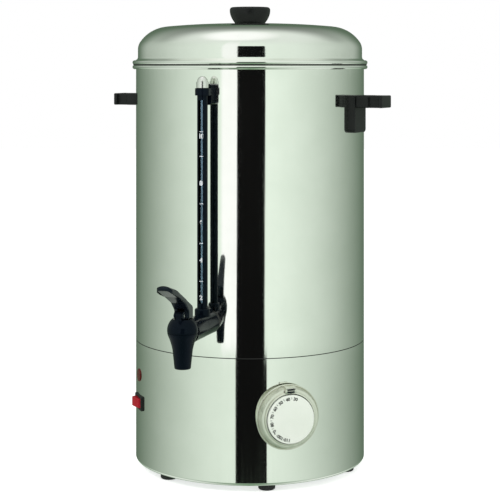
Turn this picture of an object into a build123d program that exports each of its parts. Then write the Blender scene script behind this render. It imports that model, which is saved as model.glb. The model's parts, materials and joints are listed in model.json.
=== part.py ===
"""Hot water urn: steel tank on a skirt, domed lid, side handles, sight gauge, lever tap,
thermostat dial, rocker switch, pilot lamp and concealed heater.

Millimetres, +Z up. The origin is on the tank's axis at the level that the feet stand on.
Azimuth 0 is the front (-Y) and azimuth 90 the right (+X).
Pieces at the wall are drawn at the front and then turned about Z to their azimuth."""

import os
from math import cos, pi, radians, sin, sqrt

from build123d import *

# ---------------------------------------------------------------- driving dimensions
# Fits
touch_gap = 0.3            # between pieces of different bodies that rest on each other
running_gap = 0.06         # radial clearance of a shaft in its hole
hole_gap = 0.3             # radial clearance of a screw in its hole
screw_end_gap = 0.6        # between a screw's end and the bottom of its insert

# Tank and skirt
body_radius = 128.0
sheet = 0.8
foot_height = 7.0
skirt_height = 133.0
seam_gap = 0.9
floor_rise = 20.0          # seam to the underside of the tank's floor
tank_depth = 283.2         # floor's underside to the centre of the tank's bead
plateau_rise = 10.0
plateau_inset = 55.2       # wall to the raised middle of the floor
plateau_slope = 8.0
flange_depth = 12.0        # how far the floor's flange reaches below the seam
bead_radius = 2.4
lip_width = 5.6
skirt_corner = 3.0
base_plate_thickness = 1.0
vent_count = 18
vent_inset = 50.0
vent_length = 22.0
vent_width = 4.0

# Feet
foot_count = 6
foot_radius = 9.0
foot_inset = 15.6          # outside of the tank to the middle of a foot
foot_azimuth = 9.0
foot_edge = 2.0
foot_neck_radius = 4.0
foot_web = 4.0
foot_screw_radius = 2.0
foot_screw_head = 4.0

# Stays
stay_count = 3
stay_inset = 24.0
stay_azimuth = 39.0
stay_radius = 3.0
stay_nut_radius = 5.5
stay_nut_height = 3.5
stay_end = 1.0

# Lid
lid_clearance = 1.3        # between the lid's wall and the tank's
lid_sheet = 0.8
lid_lip_depth = 8.5
lid_wall_rise = 14.5       # bead centre to the start of the shoulder
shoulder_radius = 15.4
shoulder_angle = 35.0
dome_radius = 39.5
dome_angle = 49.6
knob_height = 18.7
knob_base_radius = 16.3
knob_flare = 6.5
knob_edge = 3.2
knob_seat_margin = 3.7
knob_screw_radius = 2.5
knob_insert_radius = 4.0
knob_insert_cover = 6.0
knob_washer_radius = 9.0
knob_washer_thickness = 1.2
screw_head_height = 2.8
screw_head_radius = 4.6

# Handles
handle_right_azimuth = 63.0
handle_left_azimuth = -112.0
handle_drop = 30.5         # centre of the tank's bead to the top of a handle
handle_bar_height = 13.4
handle_plate_height = 40.5
handle_plate_width = 32.0
handle_plate_depth = 6.6
handle_root_width = 26.0
handle_root_length = 21.0
handle_neck_width = 19.0
handle_neck_length = 11.5
handle_head_width = 28.0
handle_head_length = 4.5
handle_corner = 4.0
handle_edge = 1.6
handle_screw_radius = 2.5
handle_insert_radius = 3.6
handle_insert_cover = 1.6
handle_screw_inset = 8.0   # from the plate's top and bottom to the screws
washer_thickness = 1.2
washer_radius = 6.0

# Sight gauge and tap share one azimuth
tap_azimuth = -19.5
tap_rise = 21.0            # floor's underside to the middle of the tap's ball
shank_drop = 3.8           # middle of the ball to the axis of the shank and the socket
gauge_offset = 19.2        # wall to the axis of the glass
glass_radius = 4.0
glass_wall = 1.1
guard_gap = 0.3
guard_wall = 1.2
window_width = 5.4
window_margin = 5.0
socket_wall = 2.6
socket_rise = 13.8
socket_boss_radius = 12.0
socket_nose = 9.8          # glass axis to the socket's outer face
socket_edge = 2.4
socket_web = 10.0
gauge_way_radius = 1.6
glass_floor = 0.8          # between the tap's shank and the seat of the glass
glass_seal_height = 3.6
clip_drop = 21.6           # centre of the tank's bead to the top of the clip's collar
clip_collar_height = 7.4
clip_collar_wall = 2.2
clip_boss_rise = 4.4
clip_boss_height = 21.8
clip_boss_inset = 5.7
clip_corner = 3.0
clip_screw_rise = 6.3
clip_screw_radius = 2.5
clip_screw_cover = 4.5
cap_wall = 2.5
cap_height = 6.6
cap_shoulder = 0.9
cap_dome = 6.0
cap_bore = 4.0

neck_length = 44.3         # socket's outer face to the axis of the tap's ball
ball_radius = 15.6
bonnet_rise = 9.3
bonnet_height = 2.3
bonnet_thread_radius = 8.5
bonnet_thread_depth = 6.0
bonnet_recess_radius = 6.2
bonnet_roof = 3.2
spout_drop = 38.4
spout_tip_radius = 8.3
spout_tip_edge = 1.0
spout_waist_rise = 18.9
spout_waist_radius = 10.2
spout_blend_drop = 5.8
spout_bore = 4.8
seat_drop = 9.0
neck_radius = 12.2
shank_radius = 8.0
shank_bore = 5.0
shank_tail = 15.2
tap_seal_thickness = 2.6
tap_seal_radius = 12.0
tank_nut_flats = 24.0
tank_nut_thickness = 6.0
groove_depth = 0.5
groove_drop = 2.4

# Tap lever, outward from the stem and up from its underside
pivot_offset = 8.0         # pivot in front of the stem
pivot_pin_radius = 1.4
ear_width = 6.0
ear_foot = 3.0
cheek_radius = 4.0
cheek_thickness = 1.9
lever_width = 16.0
lever_edge = 1.2
lever_back = 8.8
lever_wall = 2.5
lever_front = 3.5
lever_back_rise = 11.5
lever_front_rise = 7.8
lever_bend_out = 5.2
lever_bend_rise = 18.5
lever_under_out = 12.4
lever_under_rise = 16.6
paddle_middle = 30.0
paddle_middle_rise = 34.1
paddle_middle_thickness = 8.6
paddle_reach = 53.4
paddle_rise = 39.4
paddle_tip_slope = 4.0
back_round = 5.0
bend_round = 18.0
paddle_round = 30.0
tip_round = 3.0
under_round = 25.0
armpit_round = 10.0
lever_travel = 35.0
stem_lift = 5.6
stem_radius = 2.5
stem_head = 3.3
stem_collar_lap = 0.8
stem_collar_height = 1.4
stem_barb_radius = 1.8
cross_pin_radius = 1.25
cross_pin_proud = 0.3
lever_cavity_room = 2.8
seat_cup_gap = 1.3
seat_cup_height = 4.0
seat_cup_lip = 1.0
spring_wire = 0.45
spring_gap = 1.9
spring_turns = 6

# Dial
dial_azimuth = 17.3
dial_drop = 61.0           # seam to the middle of the dial
dial_radius = 25.2
dial_gap = 0.8
bezel_step_width = 1.8
bezel_face_width = 3.2
bezel_slope_width = 2.0
bezel_rim_width = 1.2
bezel_flange = 1.6
bezel_foot_inset = 3.6
bezel_rim_proud = 5.0
bezel_slope_height = 6.6
bezel_step_height = 1.6
bezel_edge = 0.6
bezel_root = 11.2          # how far the bezel's blank starts inside the wall
dial_back_proud = 3.5
dial_proud = 2.8
dial_thickness = 5.0
dial_rim = 1.0
hub_radius = 6.0
hub_gap = 0.6
index_width = 12.5
index_taper = 0.8
index_margin = 0.4
index_proud = 1.4
index_bar_width = 8.0
index_bar_height = 1.7
index_bar_pitch = 2.4
index_mark_thickness = 0.4
index_mark_gap = 0.05
index_pointer = 1.5
shaft_radius = 3.0
thermostat_radius = 18.5
thermostat_depth = 24.0
thermostat_screw_spacing = 28.0
thermostat_screw_radius = 2.0
thermostat_screw_head = 3.6
thermostat_screw_head_height = 2.0
thermostat_screw_grip = 8.0
thermostat_tab_spacing = 12.0

# Rocker switch and lamp
switch_azimuth = -72.0
switch_drop = 64.7
switch_width = 28.0
switch_tall = 15.8
switch_frame_lap = 2.0
switch_frame_lip = 1.4
switch_frame_proud = 1.6
switch_wall = 1.0
switch_corner = 1.6
switch_body_depth = 22.0
rocker_slot_depth = 11.0
rocker_side_gap = 0.3
rocker_pivot_depth = 2.0   # inside the outside of the skirt
rocker_pin_radius = 1.5
rocker_pin_entry = 0.8
rocker_rest_angle = 12.0
rocker_back = 3.0
rocker_end_proud = 3.4
rocker_ridge = 0.4
rocker_edge = 0.5
tab_width = 4.8
tab_thickness = 0.8
tab_length = 8.0
switch_tab_pitch = 7.0
lamp_rise = 29.4
lamp_flange_radius = 7.0
lamp_lap = 1.2
lamp_proud = 1.0
lamp_edge = 0.6
lamp_body_depth = 18.0

# Mains inlet
inlet_azimuth = 180.0
inlet_rise = 38.2          # skirt's lip to the middle of the inlet
inlet_body_width = 28.0
inlet_body_tall = 20.4
inlet_body_depth = 22.0
inlet_flange_side = 11.0
inlet_flange_edge = 3.3
inlet_proud = 3.0
inlet_flange_root = 8.0
inlet_corner = 5.0
inlet_edge = 0.7
inlet_side_wall = 1.7
inlet_top_wall = 1.8
inlet_back_wall = 6.0
inlet_cavity_chamfer = 4.0
inlet_pin_width = 2.0
inlet_pin_tall = 4.0
inlet_pin_spacing = 14.0
inlet_pin_offset = 2.0
inlet_pin_sink = 3.5
inlet_screw_inset = 5.0
inlet_screw_radius = 1.75
inlet_screw_head = 3.2
inlet_nut_height = 3.0

# Heater
heat_plate_inset = 12.0
heat_plate_thickness = 4.0
element_inset = 15.0
element_radius = 4.0
element_open_angle = 36.0
element_drop = 14.0
element_pin_radius = 1.6
element_pin_length = 12.0
cutout_radius = 8.5
cutout_thickness = 8.0
cutout_tab_spacing = 10.0
cutout_bracket_lap = 2.5
cutout_bracket_width = 10.0
cutout_bracket_thickness = 1.0
cutout_bracket_gap = 6.0
cutout_bracket_end = 6.0
cutout_screw_offset = 8.5
cutout_screw_radius = 1.5
cutout_screw_head = 2.8
bulb_radius = 3.0
bulb_room = 21.0           # end of the bulb to the element's inner side
bulb_gap = 11.5
capillary_radius = 1.0
capillary_entry = 4.0
earth_inset = 15.2
earth_azimuth = 150.0
earth_stud_radius = 2.5
earth_stud_length = 14.0
earth_nut_radius = 4.6
earth_nut_height = 3.2
wire_radius = 1.4
wire_bend = 8.0
wire_straight = 24.0
wire_fan = 60.0            # between the inlet and the bend of its lead to the switch

# ---------------------------------------------------------------- derived places
inner_radius = body_radius - sheet
lip_top = foot_height + sheet
plate_top = lip_top + base_plate_thickness
seam_height = foot_height + skirt_height
skirt_top = seam_height - seam_gap / 2
wall_bottom = seam_height + seam_gap / 2
floor_height = seam_height + floor_rise
plateau_top = floor_height + sheet + plateau_rise
plateau_underside = plateau_top - sheet
plateau_radius = inner_radius - plateau_inset
rim_height = floor_height + tank_depth
bead_circle = inner_radius + bead_radius
foot_circle = body_radius - foot_inset
foot_screw_sink = foot_height - foot_web
stay_circle = body_radius - stay_inset
vent_circle = body_radius - vent_inset

lid_bead_height = rim_height + 2 * bead_radius + touch_gap
lid_wall_radius = inner_radius - lid_clearance
crown_flat = knob_base_radius + knob_seat_margin
knob_top_radius = knob_base_radius + knob_flare
knob_insert_depth = knob_height - knob_insert_cover

handle_azimuths = (handle_right_azimuth, handle_left_azimuth)
handle_top = rim_height - handle_drop
handle_bottom = handle_top - handle_plate_height
handle_insert_depth = handle_plate_depth - handle_insert_cover

tap_height = floor_height + tap_rise
gauge_reach = body_radius + gauge_offset
glass_seat_radius = glass_radius + glass_wall / 2
guard_radius = glass_radius + guard_gap + guard_wall
socket_radius = guard_radius + socket_wall
socket_top = tap_height + socket_rise
shank_height = tap_height - shank_drop
glass_seat = socket_top - shank_height - shank_radius - glass_floor
socket_reach = gauge_reach + socket_nose
clip_top = rim_height - clip_drop
clip_collar_radius = guard_radius + clip_collar_wall
clip_boss_width = 2 * clip_collar_radius
clip_boss_top = clip_top + clip_boss_rise
clip_boss_bottom = clip_boss_top - clip_boss_height
clip_boss_reach = gauge_reach - clip_boss_inset
clip_screw_height = clip_boss_bottom + clip_screw_rise
clip_screw_end = clip_boss_reach - clip_screw_cover
cap_radius = glass_radius + cap_wall

ball_reach = socket_reach + neck_length
bonnet_seam = tap_height + bonnet_rise
bonnet_top = bonnet_seam + bonnet_height
spout_bottom = tap_height - spout_drop
spout_waist_height = spout_bottom + spout_waist_rise
spout_blend_height = tap_height - spout_blend_drop
seat_height = tap_height - seat_drop
shank_end = inner_radius - shank_tail
groove_height = tap_height - groove_drop
lever_low = bonnet_top + touch_gap
pivot_height = lever_low + cheek_radius
ear_radius = cheek_radius - touch_gap
lever_cavity_width = ear_width + 2 * touch_gap
cheek_width = lever_cavity_width + 2 * cheek_thickness
stem_top = pivot_height + stem_head
lever_cavity_top = stem_top + lever_cavity_room
cross_pin_length = cheek_width + 2 * cross_pin_proud
seat_cup_radius = bonnet_thread_radius - seat_cup_gap
spring_radius = stem_radius + spring_gap
stem_collar_radius = spring_radius + stem_collar_lap
lever_ratio = stem_lift / radians(lever_travel)

dial_height = seam_height - dial_drop
bezel_inner_radius = dial_radius + dial_gap
bezel_step_radius = bezel_inner_radius + bezel_step_width
bezel_slope_radius = bezel_step_radius + bezel_face_width
bezel_rim_radius = bezel_slope_radius + bezel_slope_width
bezel_radius = bezel_rim_radius + bezel_rim_width
bezel_rim_reach = body_radius + bezel_rim_proud
bezel_face_reach = bezel_rim_reach + bezel_slope_height
bezel_step_reach = bezel_face_reach + bezel_step_height
dial_back_reach = body_radius + dial_back_proud
dial_front = bezel_step_reach + dial_proud
dial_back = dial_front - dial_thickness
index_reach = bezel_step_reach + index_proud
thermostat_end = inner_radius - thermostat_depth
thermostat_tab_side = thermostat_tab_spacing / 2

switch_height = seam_height - switch_drop
switch_body_width = switch_width - 2 * switch_frame_lap
switch_body_tall = switch_tall - 2 * switch_frame_lip
rocker_slot_width = switch_body_width - 2 * switch_wall
rocker_slot_tall = switch_body_tall - 2.4 * switch_wall
rocker_pivot_reach = body_radius - rocker_pivot_depth
rocker_pin_length = rocker_slot_tall + 2 * rocker_pin_entry
lamp_height = switch_height + lamp_rise
lamp_neck_radius = lamp_flange_radius - lamp_lap

inlet_height = lip_top + inlet_rise
inlet_flange_width = inlet_body_width + 2 * inlet_flange_side
inlet_flange_tall = inlet_body_tall + 2 * inlet_flange_edge
inlet_cavity_width = inlet_body_width - 2 * inlet_side_wall
inlet_cavity_tall = inlet_body_tall - 2 * inlet_top_wall
inlet_cavity_depth = inlet_body_depth - inlet_back_wall
inlet_screw_side = inlet_flange_width / 2 - inlet_screw_inset

heat_plate_radius = plateau_radius - heat_plate_inset
heat_plate_bottom = plateau_underside - heat_plate_thickness
element_circle = heat_plate_radius - element_inset
cutout_bottom = heat_plate_bottom - cutout_thickness
cutout_tab_side = cutout_tab_spacing / 2
cutout_bracket_bottom = heat_plate_bottom - cutout_bracket_gap - cutout_bracket_thickness
cutout_screw_side = cutout_radius + cutout_screw_offset
cutout_bracket_length = 2 * (cutout_screw_side + cutout_bracket_end)
bulb_offset = cutout_radius + bulb_gap
bulb_length = 2 * (element_circle - element_radius - bulb_room)
earth_circle = inner_radius - earth_inset
inside_cut = 2 * sheet + skirt_corner    # how far a cut reaches each side of the sheet


# ---------------------------------------------------------------- helpers
def at_azimuth(shape, azimuth):
    return Rot(0, 0, azimuth) * shape


def upright(radius, low, high, reach=0.0, side=0.0):
    """Vertical cylinder, its axis `reach` outward of the tank's axis and `side` to the right."""
    rod = Cylinder(radius, high - low, align=(Align.CENTER, Align.CENTER, Align.MIN))
    return Pos(side, -reach, low) * rod


def outward(radius, start, end, height, side=0.0):
    """Cylinder that lies along the outward direction, from `start` to `end` off the axis."""
    rod = Cylinder(radius, end - start, align=(Align.CENTER, Align.CENTER, Align.MIN))
    return Pos(side, -start, height) * Rot(90, 0, 0) * rod


def sideways(radius, length, reach, height):
    """Cylinder along the tangent, centred on the piece's middle plane."""
    return Pos(0, -reach, height) * Rot(0, 90, 0) * Cylinder(radius, length)


def block(width, start, end, low, high, side=0.0):
    """Box `width` wide along the tangent, from `start` to `end` outward."""
    box = Box(width, end - start, high - low, align=(Align.CENTER, Align.MAX, Align.MIN))
    return Pos(side, -start, low) * box


def turned(*points):
    """Solid of revolution about Z from (radius, height) points."""
    return revolve(Plane.XZ * Polygon(*points, align=None), Axis.Z)


def turned_outward(height, *points):
    """Solid of revolution about an outward axis at `height`, from (radius, reach) points."""
    return Pos(0, 0, height) * Rot(90, 0, 0) * revolve(
        Plane.XZ * Polygon(*points, align=None), Axis.Z
    )


def wall_hole(radius, height, azimuth, side=0.0):
    """Round clearance hole through the wall for something of `radius`."""
    start, end = body_radius - inside_cut, body_radius + inside_cut
    return at_azimuth(outward(radius + hole_gap, start, end, height, side), azimuth)


def wall_window(width, tall, height, azimuth):
    """Four-sided clearance hole through the wall."""
    start, end = body_radius - inside_cut, body_radius + inside_cut
    half = tall / 2 + hole_gap
    cut = block(width + 2 * hole_gap, start, end, height - half, height + half)
    return at_azimuth(cut, azimuth)


def copies(shape, count, azimuth):
    """`count` copies of a front piece round the tank, the first at `azimuth`."""
    return [at_azimuth(shape, azimuth + 360 / count * i) for i in range(count)]


def seamless(shapes):
    """One node made of separate solids."""
    solids = []
    for shape in shapes:
        solids.extend(shape.solids())
    return Compound(children=solids)


def inside_wall(radius):
    """Column with the curve of the wall, for cutting a piece to it."""
    return Cylinder(radius, 2 * rim_height, align=(Align.CENTER, Align.CENTER, Align.MIN))


# ---------------------------------------------------------------- tank and base
def wall_screw_holes():
    """Holes through the tank's wall for the tap, the gauge clip and the handles."""
    holes = [
        wall_hole(shank_radius, shank_height, tap_azimuth),
        wall_hole(clip_screw_radius, clip_screw_height, tap_azimuth),
    ]
    for azimuth in handle_azimuths:
        for height in handle_screw_heights():
            holes.append(wall_hole(handle_screw_radius, height, azimuth))
    return holes


def tank_wall():
    wall = turned(
        (inner_radius, wall_bottom),
        (body_radius, wall_bottom),
        (body_radius, rim_height),
        (inner_radius, rim_height),
    )
    bead = revolve(Plane.XZ * Pos(bead_circle, rim_height) * Circle(bead_radius), Axis.Z)
    wall = wall + bead
    for hole in wall_screw_holes():
        wall -= hole
    return wall


def tank_floor():
    flange_end = wall_bottom - flange_depth
    top = floor_height + sheet
    return turned(
        (inner_radius, flange_end),
        (inner_radius, top),
        (plateau_radius + plateau_slope, top),
        (plateau_radius, plateau_top),
        (0, plateau_top),
        (0, plateau_underside),
        (plateau_radius - sheet / 2, plateau_underside),
        (plateau_radius + plateau_slope - sheet / 2, floor_height),
        (inner_radius - sheet, floor_height),
        (inner_radius - sheet, flange_end),
    )


def base_skirt():
    profile = Polygon(
        (body_radius - lip_width, foot_height),
        (body_radius, foot_height),
        (body_radius, skirt_top),
        (inner_radius, skirt_top),
        (inner_radius, lip_top),
        (body_radius - lip_width, lip_top),
        align=None,
    )
    outer = [v for v in profile.vertices() if v.X > body_radius - 0.01 and v.Y < lip_top]
    profile = fillet(outer, skirt_corner)
    inner = [
        v
        for v in profile.vertices()
        if abs(v.X - inner_radius) < 0.01 and abs(v.Y - lip_top) < 0.01
    ]
    profile = fillet(inner, skirt_corner - sheet)
    skirt = revolve(Plane.XZ * profile, Axis.Z)
    skirt -= wall_hole(hub_radius + hub_gap - hole_gap, dial_height, dial_azimuth)
    for height in thermostat_screw_heights():
        skirt -= wall_hole(thermostat_screw_radius, height, dial_azimuth)
    skirt -= wall_window(switch_body_width, switch_body_tall, switch_height, switch_azimuth)
    skirt -= wall_hole(lamp_neck_radius, lamp_height, switch_azimuth)
    skirt -= wall_window(inlet_body_width, inlet_body_tall, inlet_height, inlet_azimuth)
    for side in (-inlet_screw_side, inlet_screw_side):
        skirt -= wall_hole(inlet_screw_radius, inlet_height, inlet_azimuth, side)
    return skirt


def base_plate():
    plate = upright(inner_radius - (skirt_corner - sheet), lip_top, plate_top)
    slot = Pos(0, -vent_circle, lip_top) * extrude(
        Rot(0, 0, 90) * SlotOverall(vent_length, vent_width), base_plate_thickness
    )
    for cut in copies(slot, vent_count, 0):
        plate -= cut
    for cut in copies(
        upright(foot_neck_radius, lip_top, plate_top, foot_circle), foot_count, foot_azimuth
    ):
        plate -= cut
    for cut in copies(
        upright(stay_radius + hole_gap, lip_top, plate_top, stay_circle), stay_count, stay_azimuth
    ):
        plate -= cut
    return plate


def feet():
    foot = upright(foot_radius, 0, lip_top)
    foot = fillet(foot.edges().group_by(Axis.Z)[0], foot_edge)
    foot += upright(foot_neck_radius, lip_top, plate_top)
    foot -= upright(foot_screw_radius, 0, plate_top)
    foot -= upright(foot_screw_head, 0, foot_screw_sink)
    return seamless(copies(Pos(0, -foot_circle, 0) * foot, foot_count, foot_azimuth))


def foot_screws():
    """Screw, head in the foot's counterbore, with its nut on the base plate."""
    nut_top = plate_top + screw_head_height
    screw = upright(foot_screw_radius, foot_screw_sink, nut_top + stay_end)
    screw += upright(foot_screw_head, foot_screw_sink - foot_screw_radius, foot_screw_sink)
    screw += upright(foot_screw_head + stay_end, plate_top, nut_top)
    return seamless(copies(Pos(0, -foot_circle, 0) * screw, foot_count, foot_azimuth))


def stay_studs():
    low = lip_top - stay_nut_height - stay_end
    stud = upright(stay_radius, low, floor_height, stay_circle)
    return seamless(copies(stud, stay_count, stay_azimuth))


def stay_nuts():
    prism = extrude(RegularPolygon(stay_nut_radius, 6), stay_nut_height)
    lower = Pos(0, -stay_circle, lip_top - stay_nut_height) * prism
    upper = Pos(0, -stay_circle, plate_top) * prism
    bore = upright(stay_radius, 0, floor_height, stay_circle)
    nuts = [lower - bore, upper - bore]
    return seamless([n for nut in nuts for n in copies(nut, stay_count, stay_azimuth)])


# ---------------------------------------------------------------- lid
def lid_crown_height():
    return lid_outline(0)[1]


def lid_outline(inset):
    """Half section of the lid's inside or outside, and the height of its crown."""
    first, second = radians(shoulder_angle), radians(shoulder_angle + dome_angle)
    dome_end = (
        lid_wall_radius
        - shoulder_radius * (1 - cos(first))
        - dome_radius * (cos(first) - cos(second))
    )
    crown_radius = (dome_end - crown_flat) / cos(second)
    low = lid_bead_height - bead_radius - lid_lip_depth
    wall = Line(
        (lid_wall_radius - inset, low), (lid_wall_radius - inset, lid_bead_height + lid_wall_rise)
    )
    shoulder = JernArc(wall @ 1, (0, 1), shoulder_radius - inset, shoulder_angle)
    dome = JernArc(shoulder @ 1, shoulder % 1, dome_radius - inset, dome_angle)
    crown = JernArc(
        dome @ 1, dome % 1, crown_radius - inset, 90 - shoulder_angle - dome_angle
    )
    top = (crown @ 1).Y
    flat = Line(crown @ 1, (0, top))
    axis = Line((0, top), (0, low))
    floor = Line((0, low), wall @ 0)
    return make_face([wall, shoulder, dome, crown, flat, axis, floor]), top


def lid_shell():
    outside, _ = lid_outline(0)
    inside, _ = lid_outline(lid_sheet)
    shell = revolve(Plane.XZ * outside, Axis.Z) - revolve(Plane.XZ * inside, Axis.Z)
    bead = revolve(Plane.XZ * Pos(bead_circle, lid_bead_height) * Circle(bead_radius), Axis.Z)
    fold = turned(
        (lid_wall_radius - lid_sheet / 2, lid_bead_height - lid_sheet),
        (bead_circle, lid_bead_height - lid_sheet),
        (bead_circle, lid_bead_height + bead_radius),
        (lid_wall_radius + lid_sheet / 2, lid_bead_height + 2 * bead_radius),
        (lid_wall_radius - lid_sheet / 2, lid_bead_height + 3 * bead_radius),
    )
    shell = shell + bead + fold
    return shell - upright(
        knob_screw_radius + hole_gap, lid_bead_height, lid_crown_height() + knob_height
    )


def lid_knob():
    base = lid_crown_height()
    top = base + knob_height
    side = ThreePointArc(
        (knob_base_radius, base),
        (knob_base_radius + 0.62 * (knob_top_radius - knob_base_radius), base + 0.36 * knob_height),
        (knob_top_radius, top - knob_edge),
    )
    edge = JernArc(side @ 1, (0, 1), knob_edge, 90)
    outline = make_face(
        [
            side,
            edge,
            Line(edge @ 1, (0, top)),
            Line((0, top), (0, base)),
            Line((0, base), (knob_base_radius, base)),
        ]
    )
    knob = revolve(Plane.XZ * outline, Axis.Z)
    return knob - upright(knob_insert_radius, base, base + knob_insert_depth)


def knob_insert():
    base = lid_crown_height()
    insert = upright(knob_insert_radius, base, base + knob_insert_depth)
    return insert - upright(knob_screw_radius, base, base + knob_insert_depth)


def knob_washer():
    top = lid_crown_height() - lid_sheet
    washer = upright(knob_washer_radius, top - knob_washer_thickness, top)
    return washer - upright(knob_screw_radius, top - knob_washer_thickness, top)


def knob_screw():
    top = lid_crown_height() - lid_sheet - knob_washer_thickness
    end = lid_crown_height() + knob_insert_depth - screw_end_gap
    head = upright(screw_head_radius, top - screw_head_height, top)
    head = fillet(head.edges().group_by(Axis.Z)[0], screw_head_height / 2)
    return head + upright(knob_screw_radius, top - screw_head_height / 2, end)


# ---------------------------------------------------------------- handles
def handle_screw_heights():
    return (handle_top - handle_screw_inset, handle_bottom + handle_screw_inset)


def handle():
    start = body_radius - inside_cut
    root_end = body_radius + handle_root_length
    neck_end = root_end + handle_neck_length
    head_end = neck_end + handle_head_length
    plate = block(
        handle_plate_width, start, body_radius + handle_plate_depth, handle_bottom, handle_top
    )
    lower = plate.edges().filter_by(Axis.Y).group_by(Axis.Z)[0]
    plate = fillet(lower, handle_corner)
    face_edges = plate.faces().sort_by(Axis.Y)[0].edges()
    plate = fillet(face_edges, handle_edge)
    corners = [
        (handle_root_width, start),
        (handle_root_width, root_end),
        (handle_neck_width, root_end),
        (handle_neck_width, neck_end),
        (handle_head_width, neck_end),
        (handle_head_width, head_end),
    ]
    right = [(width / 2, -reach) for width, reach in corners]
    left = [(-x, y) for x, y in reversed(right)]
    plan = Polygon(*right, *left, align=None)
    plan = fillet([v for v in plan.vertices() if v.Y < -start - 1], handle_edge)
    low = handle_top - handle_bar_height
    bar = extrude(Pos(0, 0, low) * plan, handle_bar_height, dir=(0, 0, 1))
    bar = fillet(
        bar.edges().group_by(Axis.Z)[0] + bar.edges().group_by(Axis.Z)[-1], handle_edge * 0.9
    )
    piece = plate + bar - inside_wall(body_radius)
    for height in handle_screw_heights():
        piece -= outward(
            handle_insert_radius, inner_radius, body_radius + handle_insert_depth, height
        )
    return piece


def handle_inserts():
    inserts = []
    for azimuth in handle_azimuths:
        for height in handle_screw_heights():
            insert = outward(
                handle_insert_radius, inner_radius, body_radius + handle_insert_depth, height
            )
            insert -= inside_wall(body_radius)
            insert -= outward(
                handle_screw_radius, inner_radius, body_radius + handle_insert_depth, height
            )
            inserts.append(at_azimuth(insert, azimuth))
    return seamless(inserts)


def handle_washers():
    washers = []
    for azimuth in handle_azimuths:
        for height in handle_screw_heights():
            start = inner_radius - washer_thickness
            washer = outward(washer_radius, start, body_radius, height) & inside_wall(inner_radius)
            washer -= outward(handle_screw_radius, start, body_radius, height)
            washers.append(at_azimuth(washer, azimuth))
    return seamless(washers)


def handle_screws():
    start = inner_radius - washer_thickness
    screws = []
    for azimuth in handle_azimuths:
        for height in handle_screw_heights():
            screw = outward(
                handle_screw_radius, start, body_radius + handle_insert_depth - screw_end_gap, height
            )
            screw += outward(screw_head_radius, start - screw_head_height, start, height)
            screws.append(at_azimuth(screw, azimuth))
    return seamless(screws)


# ---------------------------------------------------------------- sight gauge
def gauge_socket():
    start = body_radius + tap_seal_thickness
    boss = outward(socket_boss_radius, start, socket_reach, shank_height)
    column = upright(socket_radius, shank_height, socket_top, gauge_reach)
    column = fillet(column.edges().group_by(Axis.Z)[-1], socket_edge)
    web = block(socket_web, start, gauge_reach, shank_height, socket_top - socket_edge)
    piece = boss + column + web
    piece -= outward(shank_radius, start, socket_reach, shank_height)
    piece -= upright(glass_seat_radius, socket_top - glass_seat, socket_top, gauge_reach)
    piece -= upright(gauge_way_radius, shank_height, socket_top, gauge_reach)
    return piece


def gauge_tube():
    low, high = socket_top - glass_seat + glass_wall, clip_top + cap_bore
    tube = upright(glass_radius, low, high, gauge_reach)
    return tube - upright(glass_radius - glass_wall, low, high, gauge_reach)


def gauge_seals():
    """Grommets round the foot and the top of the glass."""
    outer = glass_seat_radius
    low = socket_top - glass_seat
    foot = upright(outer, low, low + glass_seal_height, gauge_reach)
    foot -= upright(glass_radius, low + glass_wall, socket_top, gauge_reach)
    foot -= upright(gauge_way_radius, low, socket_top, gauge_reach)
    head = upright(outer, clip_top - glass_seal_height, clip_top, gauge_reach)
    head -= upright(glass_radius, clip_top - glass_seal_height, clip_top, gauge_reach)
    return seamless([foot, head])


def gauge_guard():
    low, high = socket_top, clip_top - clip_collar_height
    guard = upright(guard_radius, low, high, gauge_reach)
    guard -= upright(guard_radius - guard_wall, low, high, gauge_reach)
    window_low, window_high = low + window_margin, high - window_margin
    return guard - block(
        window_width, gauge_reach, gauge_reach + 2 * guard_radius, window_low, window_high
    )


def gauge_clip():
    start = body_radius - inside_cut
    boss = block(clip_boss_width, start, clip_boss_reach, clip_boss_bottom, clip_boss_top)
    boss = fillet(boss.edges().filter_by(Axis.Y), clip_corner)
    collar_bottom = clip_top - clip_collar_height
    arm = block(clip_boss_width, clip_boss_reach - 1, gauge_reach, collar_bottom, clip_top)
    collar = upright(clip_collar_radius, collar_bottom, clip_top, gauge_reach)
    piece = boss + arm + collar - inside_wall(body_radius)
    piece -= upright(glass_seat_radius, collar_bottom, clip_top, gauge_reach)
    piece -= upright(cap_radius + touch_gap, clip_top, clip_boss_top + 1, gauge_reach)
    return piece - outward(clip_screw_radius, start, clip_screw_end, clip_screw_height)


def gauge_cap():
    low = clip_top
    cap = upright(cap_radius, low, low + cap_height, gauge_reach)
    cap = chamfer(cap.edges().group_by(Axis.Z)[0], cap_shoulder / 2)
    crown_radius = cap_radius - cap_shoulder
    crown = Pos(0, 0, low + cap_height) * scale(
        Sphere(crown_radius), (1, 1, cap_dome / crown_radius)
    )
    crown -= upright(2 * cap_radius, low - cap_dome, low + cap_height)
    cap += Pos(0, -gauge_reach, 0) * crown
    return cap - upright(glass_radius + running_gap, low, low + cap_bore, gauge_reach)


def clip_screw():
    start = inner_radius - washer_thickness
    screw = outward(clip_screw_radius, start, clip_screw_end - 2 * touch_gap, clip_screw_height)
    screw += outward(screw_head_radius, start - screw_head_height, start, clip_screw_height)
    washer = outward(washer_radius, start, body_radius, clip_screw_height) & inside_wall(inner_radius)
    return screw + washer


# ---------------------------------------------------------------- tap
def ball(low, high):
    """Slice of the tap's ball between two heights."""
    sphere = Pos(0, -ball_reach, tap_height) * Sphere(ball_radius)
    return sphere & upright(2 * ball_radius, low, high, ball_reach)


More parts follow.
